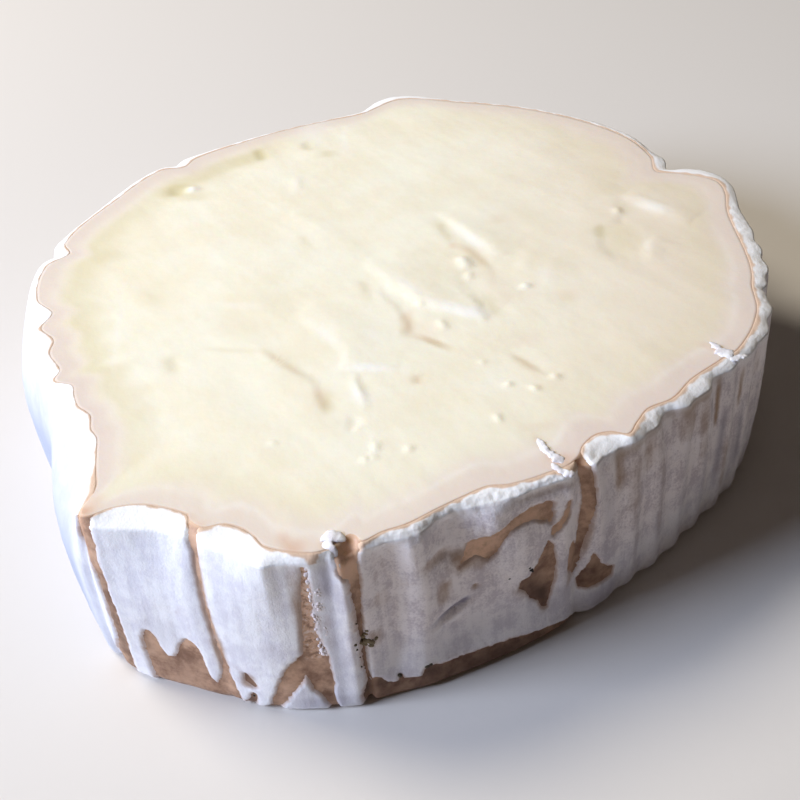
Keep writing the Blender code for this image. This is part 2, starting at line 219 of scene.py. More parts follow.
# what is on the wall: bare places where the rind is gone, dents, and thin or stained rind; a spot
# is its angle, height, half width, half height, strength, and its lean where it has one
wallMarks = {
    "mmPerDegree": 0.87,
    "tornEdges": [(0.12, 1.4), (0.13, 0.5)],  # mm by which torn edges wander, and over what length
    "dentsFade": (22.6, 23.8),
    # strokes where the brown skin of the paste lies bare: angle, height, half width
    "bareStrokes": [
        [(-129.8, 27, 0.85), (-129.6, 24, 1.05), (-129.4, 21.5, 1.15), (-129, 19.2, 0.75),
         (-128.3, 17, 0.5), (-128, 11, 0.46), (-128.2, 6, 0.6), (-129, 3, 1), (-129.9, -1.5, 1.3)],
        [(-117.4, 27, 0.45), (-116.8, 24, 0.45), (-116.3, 22, 0.22), (-115.9, 18, 0.08),
         (-115.6, 14, 0.12), (-115.3, 10, 0.1), (-115, 6.5, 0.25), (-115.1, 4, 0.55),
         (-115.3, 2, 1.2), (-115.3, -1.5, 1.5)],
        [(-98.6, 27, 1.2), (-98.7, 23.3, 1.1), (-98.7, 22, 0.86), (-98.2, 20.6, 0.46),
         (-98.2, 19, 0.36), (-98.2, 16, 0.24), (-98.3, 12, 0.12), (-98.4, 6, 0.08),
         (-98, 2.8, 0.22)],
        [(-66.7, 27, 0.6), (-66, 22, 0.72), (-65.6, 18, 0.7), (-66.2, 15, 0.65), (-66.9, 12, 0.45),
         (-67.3, 9, 0.25)],
        [(-68.6, 12.4, 0.55), (-68.5, 10, 0.95), (-67.9, 8, 0.45)],
        [(-104.9, 8.6, 0.85), (-106.2, 6.9, 0.95), (-107, 5.2, 1), (-108.1, 3.2, 0.72),
         (-109.3, 0.8, 0.55), (-110, -1.5, 0.8)],
        [(-103.4, 22.6, 0.2), (-103.7, 18.5, 0.38), (-104, 13, 0.58), (-103.8, 8.8, 1.2),
         (-103.7, 6.4, 1.25), (-103.4, 4.4, 1.05), (-103, 2.9, 0.6), (-102.6, 1.2, 0.35),
         (-102.3, -1.5, 0.5)],
        [(-112.5, 5.6, 0.1), (-112.2, 4.6, 0.45), (-111.6, 3.8, 0.25)],
        [(-111.9, 2.2, 0.22), (-112.3, 0.8, 0.4), (-112.8, -1.5, 0.6)],
        [(-69.3, 19.8, 0.2), (-69.7, 18.2, 0.42), (-70.6, 17.4, 0.3), (-71.5, 16.8, 0.5),
         (-72, 16.2, 0.2)],
        [(-71.9, 19.2, 0.15), (-72.3, 18.3, 0.3)],
    ],
    # bare places with an outline of their own: angle, height
    "barePlaces": [
        [(-125.3, 6.2), (-125.1, 8), (-124.6, 9.3), (-124, 9.3), (-123.6, 8.3), (-123.2, 6.6),
         (-122.5, 5.3), (-121.6, 5.6), (-120.6, 7.4), (-119.8, 8.9), (-119.2, 9.2), (-118.4, 8.8),
         (-118, 7.6), (-117.7, 5.4), (-117.4, 3.4), (-116.6, 2.7), (-114.6, 2.4), (-114.2, -2.5),
         (-125, -2.5), (-125.2, 2.5)],
        [(-85.6, 16.4), (-84.9, 17.6), (-84.4, 19), (-83.4, 19.3), (-81.3, 19.4), (-79.4, 20.1),
         (-77.9, 20.7), (-75, 21), (-72.4, 21), (-71.7, 20.4), (-72.4, 18.9), (-73.2, 18.6),
         (-74.6, 19.3), (-76.6, 19.6), (-78.2, 19.2), (-79.4, 18), (-80.4, 16.8), (-81.6, 16.1),
         (-82.4, 16.7), (-83.3, 17.2), (-84.5, 16.9)],
        [(-72.8, 15.5), (-71.9, 14.6), (-71.6, 12), (-71.8, 9.4), (-72.4, 7.2), (-73.2, 5.2),
         (-73.9, 5.6), (-74.3, 6.7), (-75.7, 7.6), (-76.4, 9), (-77.4, 9.8), (-77, 10.9),
         (-75.6, 11.2), (-74.4, 12.8), (-73.6, 14.4)],
        [(-64.8, 9.8), (-63.4, 7.3), (-60.8, 5.4), (-61, 4.3), (-65, 4.3), (-66.8, 4.7), (-67.3, 6),
         (-65.8, 7.8)],
        [(-98.6, 3), (-98, 3.5), (-97.4, 4.2), (-96.7, 3.8), (-96, 2.8), (-95.2, 2.3), (-94.7, 2.3),
         (-94.3, 3.4), (-93.9, 2.5), (-91.6, 2.4), (-90.9, 3.6), (-89.9, 3.7), (-89, 3.2),
         (-84.6, 3), (-79.2, 2.7), (-74, 1.9), (-69, 1.2), (-65, -2.5), (-99.2, -2.5)],
    ],
    # the crumbly strip: angle, height, half width
    "crumbStrip": [
        (-103.2, 23, 0.5), (-103.4, 18.5, 0.85), (-103.6, 13, 1.2), (-103.5, 9.6, 1.2),
    ],
    # spots pressed in, or swollen where the strength is negative, in mm
    "dents": [
        (-104.4, 15, 2.5, 11, 0.29), (-98.7, 13, 1.6, 14, -0.62), (-94.6, 14.5, 1.6, 11, 0.66),
        (-90.2, 14, 1.7, 12, -0.7), (-87.4, 20.6, 2, 3, 0.6), (-80.2, 21.3, 2, 2.2, -0.7),
        (-73, 22.6, 5.5, 0.6, 0.3, -4), (-88.3, 18.8, 1.4, 0.6, 0.25, 8),
        (-95.9, 15.6, 0.6, 1, 0.18), (-87.6, 13.6, 0.6, 1.5, 0.25, -10),
        (-83.6, 12.9, 0.35, 0.35, 0.25, 30), (-87.1, 10.4, 1.9, 0.5, 0.5, 22),
        (-86.4, 9.5, 2, 0.45, -0.2, 22), (-76.6, 15.6, 2.6, 3.4, -0.4),
        (-79.6, 11, 2.6, 2.8, -0.2, 30), (-70.3, 12, 0.9, 6, -0.4), (-92.6, 8, 1.6, 5, -0.22),
        (-86, 6, 4, 1.5, 0.15, 20), (-69, 20.5, 1.2, 2, -0.25), (-64.6, 20, 1, 6, -0.25),
        (-121.5, 11.5, 2.4, 2.6, 0.12, 20), (-113, 5, 1.6, 1.6, 0.15), (-127.6, 13, 0.8, 9, -0.2),
        (-130.6, 10, 0.7, 7, -0.25), (-150, 12, 6, 5, 0.3), (62, 12, 5, 5, 0.3, 10),
        (115, 9, 4, 5, 0.3, -10), (5, 10, 4, 6, 0.25),
    ],
    # spots of worn rind that let the tan skin show, and painted shade in bands under the rim's lip
    "wornAndShaded": [
        (-88.5, 18.8, 2, 0.9, 0.7, 5), (-95.7, 15.7, 0.9, 1.3, 0.5), (-92.3, 17, 1.6, 0.35, 0.35),
        (-87.8, 13.7, 1, 1.8, 0.62, -10), (-83.7, 12.8, 0.5, 0.4, 0.75, 30),
        # the bands just under the lip, at -73.5, -58.6, -52, -49.5 and -41, are painted shade
        (-96.8, 10.4, 1, 1.5, 0.55), (-95.8, 20.6, 1.4, 3.4, 0.3), (-73.5, 22.6, 6, 0.6, 0.45, -4),
        (-90, 14, 6, 2, 0.16, 20), (-85.2, 17.2, 1.5, 1.6, 0.75, 30),
        (-81.8, 16.6, 1.8, 1, 0.62, 20), (-77, 20.2, 4.6, 1.3, 0.35, 12), (-52, 22.7, 7, 0.8, 0.35),
        (-76.5, 9.6, 1.3, 1.6, 0.55, 30), (-73.6, 6, 0.9, 1.6, 0.6), (-70.6, 18, 1, 1.9, 0.45, -30),
        (-69.2, 8.4, 0.8, 1.6, 0.55), (-65.9, 12.5, 0.7, 3, 0.65, -12), (-62.3, 4.4, 1.8, 0.7, 0.5),
        (-60.3, 20.6, 0.9, 3.6, 0.85), (-58.6, 22.6, 1.8, 1.2, 0.45), (-54.3, 20.6, 1.8, 3.4, 0.6),
        (-51.3, 13, 0.9, 9, 0.3), (-56.6, 13, 0.8, 8, 0.25), (-45.2, 20.6, 2.3, 3.6, 0.65),
        (-49.5, 22.4, 2.2, 1.6, 0.2), (-41.2, 17, 1.2, 6, 0.5), (-37.5, 18.6, 0.55, 3.4, 0.95, -6),
        (-31.5, 18.2, 0.5, 3.2, 0.85, -4), (-41, 22.3, 5, 0.8, 0.6), (-58, 17, 1.2, 5, 0.4),
        (-35, 8, 1, 5, 0.45), (-26.5, 20, 1.6, 3, 0.4), (-18, 19, 2, 4, 0.4), (-8, 16, 2, 6, 0.35),
        (-104.7, 15.5, 0.75, 8, 0.8), (-102.8, 15.5, 0.4, 8, 0.45),
        (-112.2, 4.6, 0.9, 1.4, 0.85, -15), (-107, 6.8, 0.6, 1.6, 0.5, -25),
        (-119.9, 14, 1, 1, 0.22), (-114.9, 8, 0.7, 4, 0.35), (-116, 19, 0.65, 5, 0.95, 4),
        (-115.4, 10, 0.65, 5, 0.95, 2), (-101.8, 16, 0.5, 7, 0.35), (-109.6, 11, 2.4, 2, 0.1, 30),
        (-122, 9, 3.6, 0.9, 0.25), (-86, 3.4, 6, 0.6, 0.3), (14, 14, 1.2, 7, 0.5),
        (28, 12, 1.2, 9, 0.8), (47, 18, 1.2, 5, 0.5), (70, 7, 3, 3, 0.35), (94, 14, 0.9, 9, 0.6),
        (110, 17, 1.6, 4, 0.4), (131.5, 14, 0.7, 8, 0.5), (150, 8, 3, 3, 0.25),
    ],
    # spots of thinner, violet-grey mould, and painted shade in the slit, in hollows of the wall and
    # low by the floor
    "greyedAndShaded": [
        (-127.6, 19, 0.8, 3.5, 0.16), (-105.8, 3, 1.8, 2, 0.24), (-116.1, 15, 0.7, 6.5, 0.3, 4),
        (-112.1, 5, 0.6, 1, 0.4), (-56.6, 12, 0.5, 8, 0.22), (-51.4, 11, 0.7, 8, 0.24),
        (-45.6, 10, 0.8, 8, 0.2), (-40.6, 9, 0.6, 8, 0.24), (-24.5, 9, 0.8, 8, 0.24),
        # painted shade: the left of the white strip and the inside of the slit
        (-101.4, 12, 0.8, 11, 0.42), (-101.2, 21, 0.9, 2.6, 0.45), (-87, 10.6, 2.2, 0.42, 1, 20),
        (-85.2, 11.2, 0.6, 0.5, 0.6, 30), (-88, 6.5, 8, 2.6, 0.12), (-73, 6, 3, 2, 0.28),
        (-36.4, 12, 0.6, 5, 0.66, -4), (-30.7, 10, 0.5, 5, 0.58), (-62.4, 13, 1, 7, 0.28),
        (-70.4, 9, 0.9, 4, 0.24), (-122, 9.6, 2.6, 2.4, 0.2, 10), (-110, 9.6, 2.6, 1.8, 0.1, 20),
        # painted shade low by the floor
        (-63, 2.4, 5, 1.6, 0.36), (-103, 1.6, 3.5, 0.9, 0.36),
    ],
    # spots of the bare skin: darker and riper ones, and fresher orange ones
    "riper": [
        (-75.5, 9.3, 2, 2.4, 0.7, 30), (-73.6, 6.4, 0.9, 2.2, 0.85), (-65, 6.4, 3.2, 2.2, 0.48),
        (-86, 0.6, 12, 2.6, 0.6), (-79, 1, 6, 1.6, 0.35), (-121.5, 3.5, 3.5, 3, 0.28),
        (-130, 22, 1.5, 4, 0.18), (-104.3, 16, 0.8, 8, 0.12), (-96.9, 3, 1, 1, 0.6),
        (-90.7, 3.4, 1.2, 0.7, 0.8), (-80, 20.4, 4, 0.35, 0.3, 14), (-112.2, 4.5, 0.9, 1.4, 0.7),
        (-112.4, 1, 0.9, 1.6, 0.7), (-128.2, 9, 0.6, 8, 0.55), (-125.2, 7.6, 0.8, 1.8, 0.35),
        (-66.8, 12, 1.6, 6, 0.12), (-98.7, 8, 0.4, 8, 0.8),
    ],
    "fresh": [
        (-130, 23, 1.8, 4.5, 0.55), (-116.4, 22, 1.2, 4, 0.6), (-98.5, 23, 1.6, 3.6, 1),
        (-66.4, 23.6, 1.2, 1.6, 0.8), (-121.5, 2, 2.5, 2.4, 0.3), (-108.5, 4, 1, 3, 0.3),
        (-82.6, 18, 3.4, 1.9, 0.85, 15), (-84, 18, 1.4, 1.5, 0.45), (-66, 17.5, 1, 4.5, 0.45),
        (-75.6, 20.1, 3.4, 1.5, 0.7, 4), (-103.8, 16.5, 1.6, 8.5, 0.9), (-71, 17.6, 1.8, 2.2, 0.6),
        (-115.4, 10, 1, 9, 0.4), (-68.6, 10.4, 1, 2.4, 0.35),
    ],
    # angle and mm of tan that shows on the bevel next to the paste
    "bevelTan": [
        (-178, 0.25), (-136, 0.3), (-131, 2), (-129, 1), (-127, 0.3), (-119, 0.3), (-117.6, 1.2),
        (-115.8, 0.6), (-114, 0.35), (-108, 0.4), (-103.2, 0.5), (-102.5, 1.8), (-102, 1.8),
        (-101.5, 0.3), (-99.8, 0.3), (-99.4, 2.5), (-97.4, 2), (-96.5, 0.5), (-86, 0.4), (-72, 0.6),
        (-67, 1.6), (-64, 0.4), (-60, 0.6), (-50, 0.6), (-38, 0.6), (-32, 0.5), (-14, 0.6),
        (-5, 0.4), (25, 0.8), (40, 0.3), (90, 0.4), (170, 0.3),
    ],
    # angle and how ragged and crumbly the bevel is
    "bevelRagged": [
        (-178, 0.3), (-129, 0.15), (-106, 0.2), (-97, 0.6), (-70, 0.9), (-64, 0.35), (-50, 0.4),
        (-35, 0.35), (-10, 0.4), (30, 0.5), (90, 0.5), (170, 0.4),
    ],
    # angle and how much painted blue shade covers the white, more so lower down
    "paintedCoolShade": [
        (-178, 0.9), (-150, 1), (-136, 1), (-132.5, 0.6), (-129, 0.1), (-110, 0), (90, 0),
        (150, 0.6),
    ],
    # angle and how much the white is tinted beige: partly the rind's own warmer tone, partly
    # painted warm shade on the side away from the lamps
    "beige": [
        (-178, 0), (-101, 0), (-98, 0.75), (-70, 0.8), (-55, 0.9), (-25, 0.8), (20, 0.5),
        (90, 0.35), (150, 0.2), (176, 0.05),
    ],
}


def wallPlane(angle, up):
    # flat mm coordinates on the wall, cut open at the back
    return (turnBetween(angle, -90.0) - 90.0) * wallMarks["mmPerDegree"], up


def insideStroke(across, up, stroke):
    # mm inside a stroke of changing width, negative outside
    points = [(a * wallMarks["mmPerDegree"], z, w) for a, z, w in stroke]
    best = np.full(across.shape, -99.0)
    for (x0, y0, w0), (x1, y1, w1) in zip(points, points[1:]):
        dx, dy = x1 - x0, y1 - y0
        share = np.clip(((across - x0) * dx + (up - y0) * dy) / (dx * dx + dy * dy), 0.0, 1.0)
        reach = np.hypot(across - x0 - dx * share, up - y0 - dy * share)
        best = np.maximum(best, w0 + (w1 - w0) * share - reach)
    return best


def insideOutline(x, y, outline):
    # mm inside a closed outline, negative outside
    nearest = np.full(x.shape, 1e9)
    inside = np.zeros(x.shape, bool)
    for (x0, y0), (x1, y1) in zip(outline, outline[1:] + outline[:1]):
        dx, dy = x1 - x0, y1 - y0
        share = np.clip(((x - x0) * dx + (y - y0) * dy) / (dx * dx + dy * dy), 0.0, 1.0)
        nearest = np.minimum(nearest, np.hypot(x - x0 - dx * share, y - y0 - dy * share))
        crosses = (y0 > y) != (y1 > y)
        inside ^= crosses & (x < x0 + (y - y0) * dx / (dy if dy else 1e-9))
    return np.where(inside, nearest, -nearest)


def softSpots(x, y, spots, scale=wallMarks["mmPerDegree"]):
    # sum of soft spots, of which some lean; scale turns the first number of a spot into mm
    total = np.zeros(x.shape)
    for first, second, halfWidth, halfHeight, strength, *lean in spots:
        turn = math.radians(lean[0] if lean else 0.0)
        dx, dy = x - first * scale, y - second
        along = dx * math.cos(turn) + dy * math.sin(turn)
        over = dy * math.cos(turn) - dx * math.sin(turn)
        total += strength * np.exp(-((along / halfWidth) ** 2 + (over / halfHeight) ** 4))
    return total


def lumps(points, size, octaves=3):
    # fractal noise, one value a point and about -1 to 1; size is the widest lump in mm
    flat = (points / size).reshape(-1, 3)
    values = [noise.fractal(point, 1.0, 2.0, octaves) for point in flat.tolist()]
    return np.array(values).reshape(points.shape[:-1])


def bareAmount(profile):
    # mm inside the nearest bare place, negative on rind, with a torn, uneven edge
    across, up = wallPlane(profile["angle"], profile["up"])
    bare = np.full(across.shape, -99.0)
    for stroke in wallMarks["bareStrokes"]:
        bare = np.maximum(bare, insideStroke(across, up, stroke))
    for place in wallMarks["barePlaces"]:
        outline = [(a * wallMarks["mmPerDegree"], z) for a, z in place]
        bare = np.maximum(bare, insideOutline(across, up, outline))
    flat = np.stack([across, up, np.zeros(across.shape)], axis=-1)
    for depth, size in wallMarks["tornEdges"]:
        bare = bare + depth * lumps(flat, size, 2)
    return bare


def makeMesh(name, points, faces, values):
    # a smooth mesh of points in mm, with the marks that its finish reads, one value a point
    mesh = bpy.data.meshes.new(name)
    mesh.from_pydata((points * millimetre).tolist(), [], faces)
    mesh.validate()
    for key, numbers in values.items():
        layer = mesh.attributes.new(key, "FLOAT", "POINT")
        layer.data.foreach_set("value", np.asarray(numbers, np.float32).ravel())
    mesh.shade_smooth()
    piece = bpy.data.objects.new(name, mesh)
    bpy.context.scene.collection.objects.link(piece)
    return piece


def standsAt(profile, height):
    # points of the skin, pushed out along its normal by a height
    radius = profile["radius"] + profile["outR"] * height
    z = profile["height"] + profile["outZ"] * height
    return np.stack([radius * profile["cosine"], radius * profile["sine"], z], axis=-1)


def dentHeight(across, up):
    # how far the dents move the wall; they fade out under the rim, so that it keeps its outline
    return -softSpots(across, up, wallMarks["dents"]) * (
        1.0 - smoothStep(up, *wallMarks["dentsFade"]))


def bandFaces(above, below):
    # squares between two closed rings of point numbers
    return [(above[k - 1], below[k - 1], below[k], above[k]) for k in range(len(above))]


rindShape = {
    "front": (-178.0, 12.0),
    "frontColumns": 650,     # about 0.25 mm apart, where the wall shows most
    "backColumns": 190,
    "bevelRows": 12,
    "wallRows": 82,
    "footRows": 8,
    "sunk": 0.11,            # how far the rind dips below the bare paste
    "tornStep": (-0.34, 0.14),  # where it dips, in mm from the edge of the bare place
    # height and widest mark in mm of the broad, the upright and the fine unevenness
    "unevenness": [(0.08, 7.0), (0.05, 1.6), (0.022, 0.9)],
    "uprightScale": 0.14,
    "bead": (0.05, 0.05, 0.14),  # of the bevel: in all places, where ragged, and its crumbs
    # closed rings of the hidden side: mm inwards and up from the edge above them
    "tuck": [(0.75, -0.75), (0.25, -0.30)],
    "underside": [(0.4, 0.0), (1.2, 0.0), (1.6, 0.6)],
    "innerRings": 5,
    "innerDepth": 1.5,
    "tanEdge": 0.35,         # mm by which the bevel's tan line wanders
    "beigeRise": (4, 12),    # mm of height over which the beige gets its full strength
    "paintedCoolShadeFade": (0.45, 12.0, 22.0),  # how much the painted blue shade loses, and between which heights
}


def makeRind():
    shape, thick = rindShape, sliceShape["rindThick"]
    start, end = shape["front"]
    angles = np.concatenate([
        np.linspace(start, end, shape["frontColumns"], endpoint=False),
        np.linspace(end, start + 360.0, shape["backColumns"], endpoint=False),
    ])
    angles = np.sort(np.where(angles > 180.0, angles - 360.0, angles))
    path = np.concatenate([
        np.linspace(0.0, 1.0, shape["bevelRows"], endpoint=False),
        np.linspace(1.0, 2.0, shape["wallRows"], endpoint=False),
        np.linspace(2.0, 3.0, shape["footRows"]),
    ])
    profile = sliceProfile(angles, path)
    across, up = wallPlane(profile["angle"], profile["up"])
    skin = standsAt(profile, 0.0)
    upright = skin * np.array([1.0, 1.0, shape["uprightScale"]])
    bare = bareAmount(profile)
    step = path[:, None]
    onWall = smoothStep(step, 0.9, 1.05)

    (broad, broadSize), (tall, tallSize), (fine, fineSize) = shape["unevenness"]
    height = broad * lumps(skin, broadSize, 3) + tall * lumps(upright + 7.0, tallSize, 3)
    height = height * onWall + fine * lumps(skin + 19.0, fineSize, 2)
    # the bevel: smooth where the knife went through it cleanly, elsewhere a crumbly bead
    ragged = aroundTable(profile["angle"], wallMarks["bevelRagged"])
    bead = np.sin(np.clip(step / 1.25, 0.0, 1.0) * math.pi) ** 0.7
    crumbly = 0.5 * lumps(skin + 3.0, 2.2, 2) + lumps(skin * np.array([1.0, 1.0, 0.6]), 0.7, 2)
    everywhere, whereRagged, crumbs = shape["bead"]
    height += bead * (everywhere + ragged * (whereRagged + crumbs * crumbly))
    gone = smoothStep(bare, *shape["tornStep"])
    sunk = thick + shape["sunk"]
    outer = standsAt(profile, dentHeight(across, up) + height * (1.0 - gone) - sunk * gone)
    outer[..., 2] = np.maximum(outer[..., 2], 0.0)

    def ring(row, inward, rise):
        radius = np.hypot(outer[row, :, 0], outer[row, :, 1]) - inward
        cosine, sine = profile["cosine"][0], profile["sine"][0]
        return np.stack([radius * cosine, radius * sine, outer[row, :, 2] + rise], axis=-1)

    inner = np.linspace(len(outer) - shape["footRows"], shape["bevelRows"] + 3, shape["innerRings"])
    rows = [ring(0, *place) for place in shape["tuck"]] + list(outer)
    rows += [ring(-1, *place) for place in shape["underside"]]
    rows += [ring(row, shape["innerDepth"], 0.0) for row in inner.astype(int)]
    points = np.stack(rows)
    rings = np.arange(points[..., 0].size).reshape(points.shape[:2]).tolist()
    faces = []
    for row, above in enumerate(rings):
        faces += bandFaces(above, rings[(row + 1) % len(rings)])

    def padded(values, fill=0.0):
        grid = np.full(points.shape[:2], fill, float)
        grid[len(shape["tuck"]):][:len(values)] = values
        grid[:len(shape["tuck"])] = values[0]
        return grid

    tan = aroundTable(profile["angle"], wallMarks["bevelTan"])
    intoBevel = profile["intoBevel"] + shape["tanEdge"] * lumps(skin + 2.0, 1.5, 2)
    beige = aroundTable(profile["angle"], wallMarks["beige"])
    beige = beige * (0.45 + 0.55 * smoothStep(up, *shape["beigeRise"]))
    loss, fadeLow, fadeHigh = shape["paintedCoolShadeFade"]
    # painted blue shade: strongest on the left wall, less higher up
    paintedCoolShade = aroundTable(profile["angle"], wallMarks["paintedCoolShade"])
    paintedCoolShade = paintedCoolShade * (1.0 - loss * smoothStep(up, fadeLow, fadeHigh))
    values = {
        "bare": padded(bare, -5.0),
        "wornAndShaded": padded(np.clip(softSpots(across, up, wallMarks["wornAndShaded"]), 0.0, 1.2)),
        "greyedAndShaded": padded(np.clip(softSpots(across, up, wallMarks["greyedAndShaded"]), 0.0, 1.0)),
        "beige": padded(beige * onWall),
        "paintedCoolShade": padded(paintedCoolShade * onWall),
        "bevelTan": padded(1.0 - smoothStep(intoBevel, 0.5 * tan, 1.05 * tan)),
        "bevel": padded(np.broadcast_to(1.0 - smoothStep(step, 0.92, 1.08), bare.shape)),
    }
    return makeMesh("rind", points.reshape(-1, 3), faces, values)


